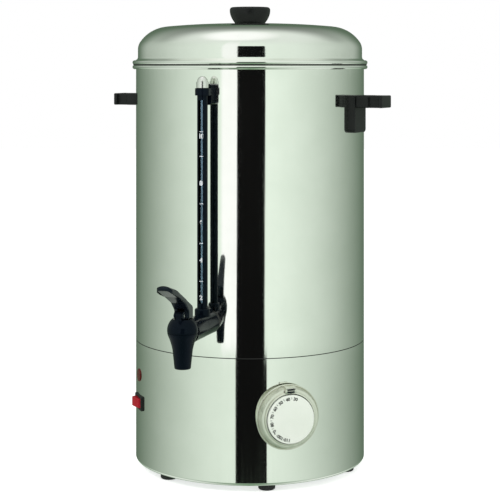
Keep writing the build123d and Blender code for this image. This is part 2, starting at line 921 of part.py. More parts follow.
def spout():
    drop = tap_height - spout_blend_height
    blend_radius = sqrt(ball_radius**2 - drop**2)
    tip = Line((spout_tip_radius, spout_bottom), (spout_waist_radius, spout_waist_height))
    side = Spline(
        tip @ 1,
        (blend_radius, spout_blend_height),
        tangents=[tip % 1, Vector(drop, blend_radius).normalized()],
    )
    outline = make_face(
        [
            tip,
            side,
            Line(side @ 1, (0, spout_blend_height)),
            Line((0, spout_blend_height), (0, spout_bottom)),
            Line((0, spout_bottom), tip @ 0),
        ]
    )
    cone = revolve(Plane.XZ * outline, Axis.Z)
    cone = fillet(cone.edges().group_by(Axis.Z)[0], spout_tip_edge)
    return Pos(0, -ball_reach, 0) * cone


def tap_body():
    body = ball(tap_height - ball_radius, bonnet_seam) + spout()
    body += outward(neck_radius, socket_reach, ball_reach - ball_radius / 2, shank_height)
    body += outward(shank_radius, shank_end, socket_reach, shank_height)
    groove_radius = sqrt(ball_radius**2 - (tap_height - groove_height) ** 2)
    groove = Pos(0, -ball_reach, groove_height) * Torus(groove_radius + 0.2, groove_depth)
    front = ball_reach + 2 * ball_radius
    body -= groove & block(4 * ball_radius, ball_reach, front, spout_bottom, bonnet_seam)
    body -= upright(bonnet_thread_radius, seat_height, bonnet_seam, ball_reach)
    body -= upright(spout_bore, spout_bottom - 1, seat_height + 1, ball_reach)
    body -= outward(shank_bore, shank_end, ball_reach, shank_height)
    return body - upright(
        gauge_way_radius, shank_height, shank_height + 2 * shank_radius, gauge_reach
    )


def tap_bonnet():
    low = bonnet_seam - bonnet_thread_depth
    bonnet = ball(bonnet_seam, bonnet_top)
    bonnet += upright(bonnet_thread_radius, low, bonnet_seam, ball_reach)
    pivot = ball_reach + pivot_offset
    ear = sideways(ear_radius, ear_width, pivot, pivot_height)
    ear += block(
        ear_width, pivot - ear_radius, pivot + ear_foot, bonnet_seam + touch_gap, pivot_height
    )
    bonnet += ear
    bonnet -= sideways(pivot_pin_radius, lever_width, pivot, pivot_height)
    bonnet -= upright(bonnet_recess_radius, low, bonnet_top - bonnet_roof, ball_reach)
    return bonnet - upright(stem_radius + running_gap, low, stem_top, ball_reach)


def lever_pin():
    return sideways(pivot_pin_radius, cheek_width, ball_reach + pivot_offset, pivot_height)


def lever_profile():
    """Side view of the lever's body and paddle, in (distance outward of the stem, height)."""
    low = lever_low
    tip_top = low + paddle_rise
    middle = low + paddle_middle_rise
    outline = FilletPolyline(
        (-lever_back, low),
        (-lever_back, low + lever_back_rise),
        (lever_bend_out, low + lever_bend_rise),
        (paddle_middle, middle),
        (paddle_reach - paddle_tip_slope, tip_top),
        (paddle_reach, tip_top - paddle_tip_slope),
        (paddle_middle, middle - paddle_middle_thickness),
        (lever_under_out, low + lever_under_rise),
        (lever_front, low + lever_front_rise),
        (lever_front, low),
        radius=(
            back_round,
            bend_round,
            paddle_round,
            tip_round,
            lever_edge,
            under_round,
            armpit_round,
            back_round,
        ),
    )
    return make_face([*outline.edges(), Line((lever_front, low), (-lever_back, low))])


def tap_lever():
    profile = lever_profile()
    body = Pos(0, -ball_reach, 0) * extrude(
        Plane.YZ * mirror(profile, Plane.YZ), lever_width / 2, both=True
    )
    half = lever_width / 2
    side_edges = [
        e
        for e in body.edges()
        if abs(abs(e.center().X) - half) < 0.05 and e.center().Z > lever_low + 1
    ]
    body = fillet(side_edges, lever_edge)
    end = ball_reach + paddle_reach - half
    back = ball_reach - lever_back - 1
    plan = upright(half, lever_low, lever_low + 2 * paddle_rise, end)
    plan += block(lever_width, back, end, lever_low, lever_low + 2 * paddle_rise)
    body = body & plan
    pivot = ball_reach + pivot_offset
    cheeks = sideways(cheek_radius, cheek_width, pivot, pivot_height)
    cheeks += block(cheek_width, ball_reach, pivot, lever_low, pivot_height + cheek_radius)
    body += cheeks
    cavity_back = ball_reach - lever_back + lever_wall
    cavity_front = pivot + 2 * cheek_radius
    body -= block(lever_cavity_width, cavity_back, cavity_front, bonnet_top, lever_cavity_top)
    body -= sideways(ear_radius + touch_gap, lever_cavity_width, pivot, pivot_height)
    body -= sideways(pivot_pin_radius + running_gap, 2 * lever_width, pivot, pivot_height)
    swing = sqrt(pivot_offset**2 + stem_lift**2)
    slot = block(
        cross_pin_length + 2 * touch_gap,
        pivot - swing - cross_pin_radius - touch_gap,
        ball_reach + cross_pin_radius + touch_gap,
        pivot_height - cross_pin_radius - touch_gap,
        pivot_height + cross_pin_radius + 2 * touch_gap,
    )
    return body - slot


def tap_stem():
    base = seat_height + touch_gap
    collar_low = base + seat_cup_height
    stem = upright(stem_radius, collar_low, stem_top, ball_reach)
    stem += upright(stem_collar_radius, collar_low, collar_low + stem_collar_height, ball_reach)
    stem += upright(stem_barb_radius, base + seat_cup_lip, collar_low, ball_reach)
    return stem - sideways(cross_pin_radius, lever_width, ball_reach, pivot_height)


def stem_pin():
    return sideways(cross_pin_radius, cross_pin_length, ball_reach, pivot_height)


def seat_cup():
    base = seat_height + touch_gap
    lip = seat_cup_lip
    cup = Pos(0, -ball_reach, 0) * turned(
        (0, base),
        (seat_cup_radius - lip, base),
        (seat_cup_radius, base + lip),
        (stem_collar_radius, base + seat_cup_height),
        (0, base + seat_cup_height),
    )
    return cup - upright(stem_barb_radius, base + lip, base + seat_cup_height, ball_reach)


def tap_spring():
    low = seat_height + touch_gap + seat_cup_height + stem_collar_height + spring_wire + touch_gap
    high = bonnet_top - bonnet_roof - spring_wire - touch_gap
    path = Helix((high - low) / spring_turns, high - low, spring_radius)
    section = Plane(path @ 0, z_dir=path % 0) * Circle(spring_wire)
    return Pos(0, -ball_reach, low) * sweep(section, path=path)


def tap_seals():
    end = body_radius + tap_seal_thickness
    outer = outward(tap_seal_radius, inner_radius, end, shank_height)
    outer -= inside_wall(body_radius)
    outer -= outward(shank_radius, inner_radius, socket_reach, shank_height)
    start = inner_radius - tap_seal_thickness
    inner = outward(tap_seal_radius, start, body_radius, shank_height)
    inner &= inside_wall(inner_radius)
    inner -= outward(shank_radius, start, body_radius, shank_height)
    return seamless([outer, inner])


def tank_nut():
    end = inner_radius - tap_seal_thickness
    prism = extrude(RegularPolygon(tank_nut_flats / 2, 6, major_radius=False), tank_nut_thickness)
    nut = Pos(0, -(end - tank_nut_thickness), shank_height) * Rot(90, 0, 0) * prism
    return nut - outward(shank_radius, shank_end, end, shank_height)


# ---------------------------------------------------------------- dial and thermostat
def thermostat_screw_heights():
    half = thermostat_screw_spacing / 2
    return (dial_height - half, dial_height + half)


def dial_bezel():
    root = inner_radius - bezel_root
    ring = turned_outward(
        dial_height,
        (hub_radius + hub_gap, root),
        (bezel_radius - bezel_foot_inset, root),
        (bezel_radius - bezel_foot_inset, bezel_rim_reach - bezel_flange),
        (bezel_radius, bezel_rim_reach - bezel_flange),
        (bezel_radius, bezel_rim_reach - bezel_edge),
        (bezel_radius - bezel_edge, bezel_rim_reach),
        (bezel_rim_radius, bezel_rim_reach),
        (bezel_slope_radius, bezel_face_reach - bezel_edge),
        (bezel_slope_radius - bezel_edge, bezel_face_reach),
        (bezel_step_radius, bezel_face_reach),
        (bezel_step_radius - bezel_edge / 2, bezel_step_reach),
        (bezel_inner_radius, bezel_step_reach),
        (bezel_inner_radius, dial_back_reach),
        (hub_radius + hub_gap, dial_back_reach),
    )
    low, high = index_low(), dial_height + bezel_rim_radius
    block_face = Polygon(
        (-index_width / 2, low),
        (index_width / 2, low),
        (index_width / 2 - index_taper, high),
        (-index_width / 2 + index_taper, high),
        align=None,
    )
    index = extrude(Plane.XZ.offset(body_radius) * block_face, index_reach - body_radius)
    piece = ring + index - inside_wall(body_radius)
    for height in thermostat_screw_heights():
        piece -= outward(thermostat_screw_radius + hole_gap, root, dial_back_reach, height)
    return piece


def index_low():
    return dial_height + bezel_inner_radius + index_margin


def index_marks():
    """Two bars and a small pointer, standing on the index block's face."""
    face = Plane.XZ.offset(index_reach + index_mark_gap)
    middle = index_low() + index_bar_height
    low = middle - index_bar_height / 2
    marks = []
    for rise in (0, index_bar_pitch):
        bar = Pos(0, middle + rise) * Rectangle(index_bar_width, index_bar_height)
        marks.append(extrude(face * bar, index_mark_thickness))
    half = index_pointer / 2
    pointer = Polygon((0, low - half), (half, low), (-half, low), align=None)
    marks[0] += extrude(face * pointer, index_mark_thickness)
    return seamless(marks)


def dial_knob():
    hub_back = dial_back_reach + touch_gap
    return turned_outward(
        dial_height,
        (shaft_radius, hub_back),
        (hub_radius, hub_back),
        (hub_radius, dial_back),
        (dial_radius, dial_back),
        (dial_radius, dial_front - dial_rim),
        (dial_radius - dial_rim, dial_front),
        (0, dial_front),
        (0, dial_back),
        (shaft_radius, dial_back),
    )


def thermostat_shaft():
    return outward(shaft_radius, thermostat_end + thermostat_depth / 2, dial_back, dial_height)


def thermostat_body():
    body = outward(thermostat_radius, thermostat_end, body_radius, dial_height)
    body &= inside_wall(inner_radius)
    bore_end = thermostat_end + thermostat_depth / 2 - touch_gap
    body -= outward(shaft_radius + running_gap, bore_end, body_radius, dial_height)
    screw_end = inner_radius - thermostat_screw_grip - touch_gap
    for height in thermostat_screw_heights():
        body -= outward(thermostat_screw_radius, screw_end, body_radius, height)
    low = dial_height - tab_thickness / 2
    for side in (-thermostat_tab_side, thermostat_tab_side):
        start = thermostat_end - tab_length
        body += block(tab_width, start, thermostat_end, low, low + tab_thickness, side)
    return body


def thermostat_screws():
    start = inner_radius - thermostat_screw_grip
    head_end = dial_back_reach + thermostat_screw_head_height
    screws = []
    for height in thermostat_screw_heights():
        screw = outward(thermostat_screw_radius, start, dial_back_reach, height)
        screw += outward(thermostat_screw_head, dial_back_reach, head_end, height)
        screws.append(screw)
    return seamless(screws)


def capillary():
    """Bulb clamped under the heat plate and the thin tube that leads to the thermostat."""
    bulb_height = heat_plate_bottom - bulb_radius
    bulb = Pos(0, -bulb_offset, bulb_height) * Rot(0, 90, 0) * Cylinder(bulb_radius, bulb_length)
    low = dial_height + thermostat_radius - capillary_entry
    bend_out = bulb_length / 2 + wire_bend
    route = FilletPolyline(
        (bulb_length / 2 - capillary_radius, -bulb_offset, bulb_height),
        (bend_out, -bulb_offset, bulb_height),
        (bend_out, -bulb_offset, bulb_height - 3 * wire_bend),
        (0, -(thermostat_end - 2 * wire_bend), low),
        (0, -thermostat_end, low),
        radius=wire_bend,
    )
    tube = sweep(Plane(route @ 0, z_dir=route % 0) * Circle(capillary_radius), path=route)
    return bulb + tube


# ---------------------------------------------------------------- switch, lamp, inlet
def switch_housing():
    half = switch_tall / 2
    front = body_radius + switch_frame_proud
    back = body_radius - inside_cut
    frame = block(switch_width, back, front, switch_height - half, switch_height + half)
    frame = fillet(frame.edges().filter_by(Axis.Y), switch_corner)
    frame = fillet(frame.faces().sort_by(Axis.Y)[0].edges(), switch_corner / 2)
    frame -= inside_wall(body_radius)
    half = switch_body_tall / 2
    back, low, high = body_radius - switch_body_depth, switch_height - half, switch_height + half
    body = block(switch_body_width, back, body_radius + touch_gap, low, high)
    half = rocker_slot_tall / 2
    back, low, high = front - rocker_slot_depth, switch_height - half, switch_height + half
    slot = block(rocker_slot_width, back, front + switch_frame_proud, low, high)
    piece = frame + body - slot
    return piece - Pos(0, -rocker_pivot_reach, switch_height) * Cylinder(
        rocker_pin_radius + running_gap, rocker_pin_length + 2 * touch_gap
    )


def rocker():
    """Two sloping halves that meet in a ridge, on stub pins above and below."""
    radius = rocker_slot_width / 2 - rocker_side_gap
    end = body_radius + switch_frame_proud + rocker_end_proud - rocker_pivot_reach
    outline = Polygon(
        (-radius, -rocker_back),
        (radius, -rocker_back),
        (radius, end),
        (0, end + rocker_ridge),
        (-radius, end),
        align=None,
    )
    outline = outline & Circle(radius)
    tall = rocker_slot_tall - 2 * rocker_side_gap
    cap = extrude(Pos(0, 0, -tall / 2) * outline, tall)
    rims = cap.edges().group_by(Axis.Z)[0] + cap.edges().group_by(Axis.Z)[-1]
    cap = fillet(rims, rocker_edge)
    piece = cap + Cylinder(rocker_pin_radius, rocker_pin_length)
    turned_cap = Rot(0, 0, rocker_rest_angle) * Rot(0, 0, 180) * piece
    return Pos(0, -rocker_pivot_reach, switch_height) * turned_cap


def switch_tabs():
    end = body_radius - switch_body_depth
    low, high = switch_height - tab_width / 2, switch_height + tab_width / 2
    tabs = []
    for side in (-switch_tab_pitch, 0.0, switch_tab_pitch):
        tabs.append(block(tab_thickness, end - tab_length, end, low, high, side))
    return seamless(tabs)


def lamp_lens():
    front = body_radius + lamp_proud
    back = body_radius - inside_cut
    lens = outward(lamp_flange_radius, back, front, lamp_height) - inside_wall(body_radius)
    lens = fillet(lens.faces().sort_by(Axis.Y)[0].edges(), lamp_edge)
    return lens + outward(lamp_neck_radius, back, front - lamp_edge, lamp_height)


def lamp_body():
    end = body_radius - inside_cut
    start = end - lamp_body_depth
    body = outward(lamp_neck_radius, start, end, lamp_height)
    low, high = lamp_height - tab_width / 2, lamp_height + tab_width / 2
    for side in (-lamp_neck_radius / 2, lamp_neck_radius / 2):
        body += block(tab_thickness, start - tab_length, start, low, high, side)
    return body


def inlet_housing():
    front = body_radius + inlet_proud
    back = inner_radius - inlet_flange_root
    half = inlet_flange_tall / 2
    low, high = inlet_height - half, inlet_height + half
    flange = block(inlet_flange_width, back, front, low, high)
    flange = fillet(flange.edges().filter_by(Axis.Y), inlet_corner)
    flange = chamfer(flange.faces().sort_by(Axis.Y)[0].edges(), inlet_edge)
    flange -= inside_wall(body_radius)
    half = inlet_body_tall / 2
    low, high = inlet_height - half, inlet_height + half
    body = block(inlet_body_width, front - inlet_body_depth, front - inlet_edge, low, high)
    half = inlet_cavity_tall / 2
    low, high = inlet_height - half, inlet_height + half
    cavity_end = front + inlet_proud
    cavity = block(inlet_cavity_width, front - inlet_cavity_depth, cavity_end, low, high)
    upper = cavity.edges().filter_by(Axis.Y).group_by(Axis.Z)[-1]
    cavity = chamfer(upper, inlet_cavity_chamfer)
    piece = flange + body - cavity
    for side in (-inlet_screw_side, inlet_screw_side):
        piece -= outward(inlet_screw_radius, back, front, inlet_height, side)
    return piece - inlet_pin_group()


def inlet_pin_group():
    front = body_radius + inlet_proud
    start = front - inlet_body_depth - tab_length
    end = front - inlet_pin_sink
    half = inlet_pin_tall / 2
    places = [
        (-inlet_pin_spacing / 2, inlet_pin_offset),
        (0.0, -inlet_pin_offset),
        (inlet_pin_spacing / 2, inlet_pin_offset),
    ]
    pins = []
    for side, rise in places:
        middle = inlet_height + rise
        pins.append(block(inlet_pin_width, start, end, middle - half, middle + half, side))
    return seamless(pins)


def inlet_screws():
    """Pan screws with their nuts inside the skirt."""
    front = body_radius + inlet_proud
    screws = []
    for side in (-inlet_screw_side, inlet_screw_side):
        nut_end = sqrt(inner_radius**2 - (abs(side) + inlet_screw_head) ** 2)
        nut_start = nut_end - inlet_nut_height
        screw = outward(inlet_screw_radius, nut_start - 1, front, inlet_height, side)
        screw += outward(inlet_screw_head, front, front + inlet_screw_head / 2, inlet_height, side)
        screw += outward(inlet_screw_head, nut_start, nut_end, inlet_height, side)
        screws.append(screw)
    return seamless(screws)


# ---------------------------------------------------------------- heater
def heat_plate():
    return upright(heat_plate_radius, heat_plate_bottom, plateau_underside)


def element_ends():
    """Places of the ring's two ends, as (x, y)."""
    half = element_open_angle / 2
    return [
        (element_circle * sin(radians(a)), element_circle * cos(radians(a))) for a in (-half, half)
    ]


def heating_element():
    middle = heat_plate_bottom - element_radius
    section = Plane.XZ * Pos(element_circle, middle) * Circle(element_radius)
    ring = revolve(section, Axis.Z, 360 - element_open_angle)
    ring = Rot(0, 0, 90 + element_open_angle / 2) * ring
    for x, y in element_ends():
        ring += Pos(x, y, middle) * Sphere(element_radius)
        ring += upright(element_radius, middle - element_drop, middle, -y, x)
    return ring


def element_pins():
    high = heat_plate_bottom - element_radius - element_drop
    pins = [
        upright(element_pin_radius, high - element_pin_length, high, -y, x)
        for x, y in element_ends()
    ]
    return seamless(pins)


def cutout():
    body = upright(cutout_radius, cutout_bottom, heat_plate_bottom)
    low, half = cutout_bottom - tab_length, tab_width / 2
    for side in (-cutout_tab_side, cutout_tab_side):
        body += block(tab_thickness, -half, half, low, cutout_bottom, side)
    return body


def cutout_bracket():
    """Strap under the heat plate with a collar round the cut-out and a post at each end."""
    low = cutout_bracket_bottom
    high = low + cutout_bracket_thickness
    half = cutout_bracket_width / 2
    bracket = block(cutout_bracket_length, -half, half, low, high)
    bracket += upright(cutout_radius + cutout_bracket_lap, low, high)
    bracket -= upright(cutout_radius, low, high)
    for side in (-cutout_screw_side, cutout_screw_side):
        bracket += upright(cutout_screw_head, high, heat_plate_bottom, 0, side)
        bracket -= upright(cutout_screw_radius, low, heat_plate_bottom, 0, side)
    return bracket


def cutout_screws():
    low = cutout_bracket_bottom
    screws = []
    for side in (-cutout_screw_side, cutout_screw_side):
        screw = upright(cutout_screw_radius, low, heat_plate_bottom, 0, side)
        head_low = low - 2 * cutout_bracket_thickness
        screws.append(screw + upright(cutout_screw_head, head_low, low, 0, side))
    return seamless(screws)


def earth_stud():
    stud = upright(earth_stud_radius, floor_height - earth_stud_length, floor_height, earth_circle)
    low = floor_height - earth_stud_length + earth_nut_height
    prism = extrude(RegularPolygon(earth_nut_radius, 6), earth_nut_height)
    stud += Pos(0, -earth_circle, low) * prism
    return at_azimuth(stud, earth_azimuth)


def point_at(azimuth, reach, height, side=0.0):
    """Point `reach` outward and `side` along the tangent, at an azimuth."""
    a = radians(azimuth)
    return (reach * sin(a) + side * cos(a), -reach * cos(a) + side * sin(a), height)


def lead_in(tab, height, side):
    """First two points of a lead that leaves a tab straight inward."""
    azimuth, reach = tab
    end = reach - wire_straight
    return [point_at(azimuth, reach, height, side), point_at(azimuth, end, height, side)]


def wiring():
    """Leads between the inlet, switch, thermostat, cut-out, element and earth stud."""
    pin_low = heat_plate_bottom - element_radius - element_drop - element_pin_length
    cutout_low = cutout_bottom - tab_length
    inlet_tab = (inlet_azimuth, body_radius + inlet_proud - inlet_body_depth - tab_length)
    switch_tab = (switch_azimuth, body_radius - switch_body_depth - tab_length)
    thermostat_tab = (dial_azimuth, thermostat_end - tab_length)
    (left_x, left_y), (right_x, right_y) = element_ends()
    live = inlet_height + inlet_pin_offset
    half = inlet_pin_spacing / 2
    bend = wire_bend
    routes = [
        [
            *lead_in(inlet_tab, live, half),
            point_at(inlet_azimuth + wire_fan, switch_tab[1] - wire_straight, live - bend),
            *reversed(lead_in(switch_tab, switch_height, -switch_tab_pitch)),
        ],
        [
            *lead_in(switch_tab, switch_height, switch_tab_pitch),
            point_at(
                (switch_azimuth + dial_azimuth) / 2,
                thermostat_tab[1] - wire_straight,
                switch_height - 2 * bend,
            ),
            *reversed(lead_in(thermostat_tab, dial_height, -thermostat_tab_side)),
        ],
        [
            *lead_in(thermostat_tab, dial_height, thermostat_tab_side),
            point_at(dial_azimuth, 3 * bend, dial_height, 2 * bend),
            (cutout_tab_side, 0.0, cutout_low - 2 * bend),
            (cutout_tab_side, 0.0, cutout_low),
        ],
        [
            (-cutout_tab_side, 0.0, cutout_low),
            (-cutout_tab_side, 0.0, cutout_low - 2 * bend),
            (left_x, left_y, pin_low - 2 * bend),
            (left_x, left_y, pin_low),
        ],
        [
            *lead_in(inlet_tab, live, -half),
            (right_x, right_y, pin_low - 3 * bend),
            (right_x, right_y, pin_low),
        ],
    ]
    leads = []
    for points in routes:
        route = FilletPolyline(*points, radius=bend)
        leads.append(sweep(Plane(route @ 0, z_dir=route % 0) * Circle(wire_radius), path=route))
    return seamless(leads)


# ---------------------------------------------------------------- every node
def build_nodes():
    nodes = {
        "tank_wall": tank_wall(),
        "tank_floor": tank_floor(),
        "base_skirt": base_skirt(),
        "base_plate": base_plate(),
        "feet": feet(),
        "foot_screws": foot_screws(),
        "stay_studs": stay_studs(),
        "stay_nuts": stay_nuts(),
        "lid_shell": lid_shell(),
        "lid_knob": lid_knob(),
        "knob_insert": knob_insert(),
        "knob_screw": knob_screw(),
        "knob_washer": knob_washer(),
        "handle_inserts": handle_inserts(),
        "handle_screws": handle_screws(),
        "handle_washers": handle_washers(),
        "heat_plate": heat_plate(),
        "heating_element": heating_element(),
        "element_pins": element_pins(),
        "cutout": cutout(),
        "cutout_bracket": cutout_bracket(),
        "cutout_screws": cutout_screws(),
        "earth_stud": earth_stud(),
        "wiring": wiring(),
    }
    for name, azimuth in zip(("handle_right", "handle_left"), handle_azimuths):
        nodes[name] = at_azimuth(handle(), azimuth)
    turned_nodes = {
        tap_azimuth: {
            "gauge_tube": gauge_tube,
            "gauge_guard": gauge_guard,
            "gauge_clip": gauge_clip,
            "gauge_cap": gauge_cap,
            "gauge_seals": gauge_seals,
            "clip_screw": clip_screw,
            "gauge_socket": gauge_socket,
            "tap_body": tap_body,
            "tap_bonnet": tap_bonnet,
            "tap_lever": tap_lever,
            "lever_pin": lever_pin,
            "tap_stem": tap_stem,
            "stem_pin": stem_pin,
            "seat_cup": seat_cup,
            "tap_spring": tap_spring,
            "tap_seals": tap_seals,
            "tank_nut": tank_nut,
        },
        dial_azimuth: {
            "dial_bezel": dial_bezel,
            "index_marks": index_marks,
            "dial_knob": dial_knob,
            "thermostat_shaft": thermostat_shaft,
            "thermostat_body": thermostat_body,
            "thermostat_screws": thermostat_screws,
            "capillary": capillary,
        },
        switch_azimuth: {
            "switch_housing": switch_housing,
            "rocker": rocker,
            "switch_tabs": switch_tabs,
            "lamp_lens": lamp_lens,
            "lamp_body": lamp_body,
        },
        inlet_azimuth: {
            "inlet_housing": inlet_housing,
            "inlet_pins": inlet_pin_group,
            "inlet_screws": inlet_screws,
        },
    }
    for azimuth, group in turned_nodes.items():
        for name, make in group.items():
            nodes[name] = at_azimuth(make(), azimuth)
    return nodes


os.makedirs("parts", exist_ok=True)
for node_name, node_shape in build_nodes().items():
    export_step(node_shape, f"parts/{node_name}.step")
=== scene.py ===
import json
from math import atan2, cos, degrees, radians, sin, sqrt

import bpy
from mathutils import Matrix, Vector


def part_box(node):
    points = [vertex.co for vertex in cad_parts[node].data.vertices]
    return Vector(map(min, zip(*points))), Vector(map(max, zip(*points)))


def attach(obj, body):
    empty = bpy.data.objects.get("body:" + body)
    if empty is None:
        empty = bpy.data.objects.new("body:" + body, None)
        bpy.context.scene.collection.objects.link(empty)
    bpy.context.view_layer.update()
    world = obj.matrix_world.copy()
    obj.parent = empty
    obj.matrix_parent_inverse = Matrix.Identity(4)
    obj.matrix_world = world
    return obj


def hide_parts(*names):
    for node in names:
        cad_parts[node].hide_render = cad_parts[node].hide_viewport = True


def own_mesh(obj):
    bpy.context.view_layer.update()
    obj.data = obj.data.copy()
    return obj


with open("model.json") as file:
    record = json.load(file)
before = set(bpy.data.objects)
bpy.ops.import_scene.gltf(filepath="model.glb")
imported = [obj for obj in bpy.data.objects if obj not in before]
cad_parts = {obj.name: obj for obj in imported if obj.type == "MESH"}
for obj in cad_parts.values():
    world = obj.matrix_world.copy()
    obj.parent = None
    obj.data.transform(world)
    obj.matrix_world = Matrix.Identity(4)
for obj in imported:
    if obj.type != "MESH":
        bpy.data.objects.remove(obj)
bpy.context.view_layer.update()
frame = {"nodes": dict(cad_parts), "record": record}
print("urn frame loaded")

mm = 0.001
scene = bpy.context.scene
slotOf = {part["node"]: part["material_slot"] for part in frame["record"]["subparts"]}


# hand tools
def clearSelection():
    if bpy.context.object and bpy.context.object.mode != "OBJECT":
        bpy.ops.object.mode_set(mode="OBJECT")
    bpy.ops.object.select_all(action="DESELECT")


def pickOnly(piece):
    clearSelection()
    piece.select_set(True)
    bpy.context.view_layer.objects.active = piece


def applyModifier(piece, kind, **settings):
    pickOnly(piece)
    modifier = piece.modifiers.new(kind.lower(), kind)
    for key, value in settings.items():
        setattr(modifier, key, value)
    bpy.ops.object.modifier_apply(modifier=modifier.name)


def selectVerts(piece, chooser):
    # leaves the piece in edit mode with only the chosen vertices picked
    pickOnly(piece)
    bpy.ops.object.mode_set(mode="EDIT")
    bpy.ops.mesh.select_mode(type="VERT")
    bpy.ops.mesh.select_all(action="DESELECT")
    bpy.ops.object.mode_set(mode="OBJECT")
    for vertex in piece.data.vertices:
        vertex.select = chooser(vertex)
    bpy.ops.object.mode_set(mode="EDIT")


def settle(piece, smoothAngle=35):
    # doubles merged, faces outwards, object back at the origin, soft shading between hard edges
    pickOnly(piece)
    bpy.ops.object.transform_apply(location=True, rotation=True, scale=True)
    bpy.ops.object.mode_set(mode="EDIT")
    bpy.ops.mesh.select_all(action="SELECT")
    bpy.ops.mesh.remove_doubles(threshold=0.000002)
    bpy.ops.mesh.normals_make_consistent(inside=False)
    bpy.ops.object.mode_set(mode="OBJECT")
    bpy.ops.object.shade_smooth_by_angle(angle=radians(smoothAngle))


def turnTo(piece, azimuth):
    # a piece made at the front goes round the tank to its azimuth
    pickOnly(piece)
    piece.rotation_euler = (0, 0, radians(azimuth))
    bpy.ops.object.transform_apply(location=False, rotation=True, scale=False)


def arcRings(centreRadius, centreHeight, radius, startAngle, endAngle, steps):
    rings = []
    for i in range(steps + 1):
        a = radians(startAngle + (endAngle - startAngle) * i / steps)
        rings.append((centreRadius + radius * cos(a), centreHeight + radius * sin(a)))
    return rings


def sweptCurve(start, control, end, steps):
    # quadratic curve from start to end, its pull point control
    rings = []
    for i in range(steps + 1):
        t = i / steps
        u = 1 - t
        pull = zip(start, control, end)
        rings.append(tuple(u * u * s + 2 * u * t * c + t * t * e for s, c, e in pull))
    return rings


def turnOnLathe(name, rings, sides=192, capStart=False, capEnd=False):
    # one ring is extruded and scaled along the profile, as on a lathe
    clearSelection()
    radius, height = rings[0]
    bpy.ops.mesh.primitive_circle_add(vertices=sides, radius=radius * mm, location=(0, 0, height * mm))
    piece = bpy.context.object
    piece.name = name
    bpy.ops.object.mode_set(mode="EDIT")
    bpy.ops.mesh.select_all(action="SELECT")
    for nextRadius, nextHeight in rings[1:]:
        rise = (0, 0, (nextHeight - height) * mm)
        bpy.ops.mesh.extrude_edges_move(TRANSFORM_OT_translate={"value": rise})
        k = nextRadius / radius
        bpy.ops.transform.resize(value=(k, k, 1), center_override=(0, 0, nextHeight * mm))
        radius, height = nextRadius, nextHeight
    if capEnd:
        bpy.ops.mesh.edge_face_add()
    if capStart:
        selectVerts(piece, lambda vertex: vertex.index < sides)
        bpy.ops.mesh.edge_face_add()
    bpy.ops.object.mode_set(mode="OBJECT")
    return piece


def tubeRings(inner, outer, low, high):
    return [(inner, low), (outer, low), (outer, high), (inner, high), (inner, low)]


def joinPieces(first, *others):
    pickOnly(first)
    for other in others:
        other.select_set(True)
    bpy.ops.object.join()
    return first


def cutAway(piece, cutter, kind="DIFFERENCE"):
    applyModifier(piece, "BOOLEAN", operation=kind, object=cutter, solver="EXACT")
    bpy.data.objects.remove(cutter)


def boxAt(width, depth, tall, centre):
    clearSelection()
    bpy.ops.mesh.primitive_cube_add(size=1, location=[v * mm for v in centre])
    box = bpy.context.object
    box.scale = (width * mm, depth * mm, tall * mm)
    bpy.ops.object.transform_apply(location=True, rotation=True, scale=True)
    return box


def printedText(body, size, bold, spacing=1.0):
    # flat text made a mesh, its middle at the origin
    clearSelection()
    bpy.ops.object.text_add(location=(0, 0, 0))
    mark = bpy.context.object
    mark.data.body = body
    mark.data.size = size * mm
    mark.data.offset = bold * mm
    mark.data.align_x = "CENTER"
    mark.data.align_y = "CENTER"
    mark.data.extrude = 0.04 * mm
    mark.data.space_character = spacing
    bpy.ops.object.convert(target="MESH")
    return mark


def setDown(piece, turn, location):
    pickOnly(piece)
    piece.rotation_euler = turn
    piece.location = location
    bpy.ops.object.transform_apply(location=True, rotation=True, scale=True)


def finishedCopy(node, name, smoothAngle=30):
    # the moulding's own shape with its facets welded and shaded smooth
    clearSelection()
    source = frame["nodes"][node]
    piece = bpy.data.objects.new(name, source.data.copy())
    scene.collection.objects.link(piece)
    for key in list(piece.keys()):
        del piece[key]
    pickOnly(piece)
    bpy.ops.object.mode_set(mode="EDIT")
    bpy.ops.mesh.select_all(action="SELECT")
    bpy.ops.mesh.remove_doubles(threshold=0.00001)
    bpy.ops.mesh.customdata_custom_splitnormals_clear()
    bpy.ops.object.mode_set(mode="OBJECT")
    bpy.ops.object.shade_smooth_by_angle(angle=radians(smoothAngle))
    return piece


def place(piece, node, body, finish):
    piece.data.materials.clear()
    piece.data.materials.append(finish)
    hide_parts(node)
    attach(piece, body)


def trim(piece, body, finish):
    # a fine detail that stands for no node of its own
    piece.data.materials.clear()
    piece.data.materials.append(finish)
    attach(piece, body)


# thermostat dial, whose place the ribbed finish reads too
dialAzimuth = 17.3
dialShape = {
    "height": 79.0, "bezel": 34.2, "rimReach": 133.0, "rim": 33.0, "slope": 31.0, "faceReach": 139.6,
    "foot": 30.6, "flange": 1.6, "step": 27.8, "stepReach": 141.2, "inner": 26.0, "back": 131.5,
    "root": 116.0, "edge": 0.6, "disc": 25.2, "front": 144.0, "thickness": 5.0, "discRim": 1.0,
    "sides": 160, "numberRing": 21.2, "tickRing": 22.0, "numberSize": 4.6, "numberBold": 0.17,
    "firstNumber": 12.3, "numberStep": 22.5, "tick": (0.45, 2.2, 0.1), "ribs": 180,
}
indexShape = {"width": 12.5, "taper": 0.8, "low": 26.4, "high": 33.0, "reach": 142.6, "edge": 0.35}


# finishes
def newFinish(name):
    finish = bpy.data.materials.new(name)
    finish.use_nodes = True
    nodes, links = finish.node_tree.nodes, finish.node_tree.links
    shader = nodes["Principled BSDF"]
    coords = nodes.new("ShaderNodeTexCoord")
    return finish, nodes, links, shader, coords


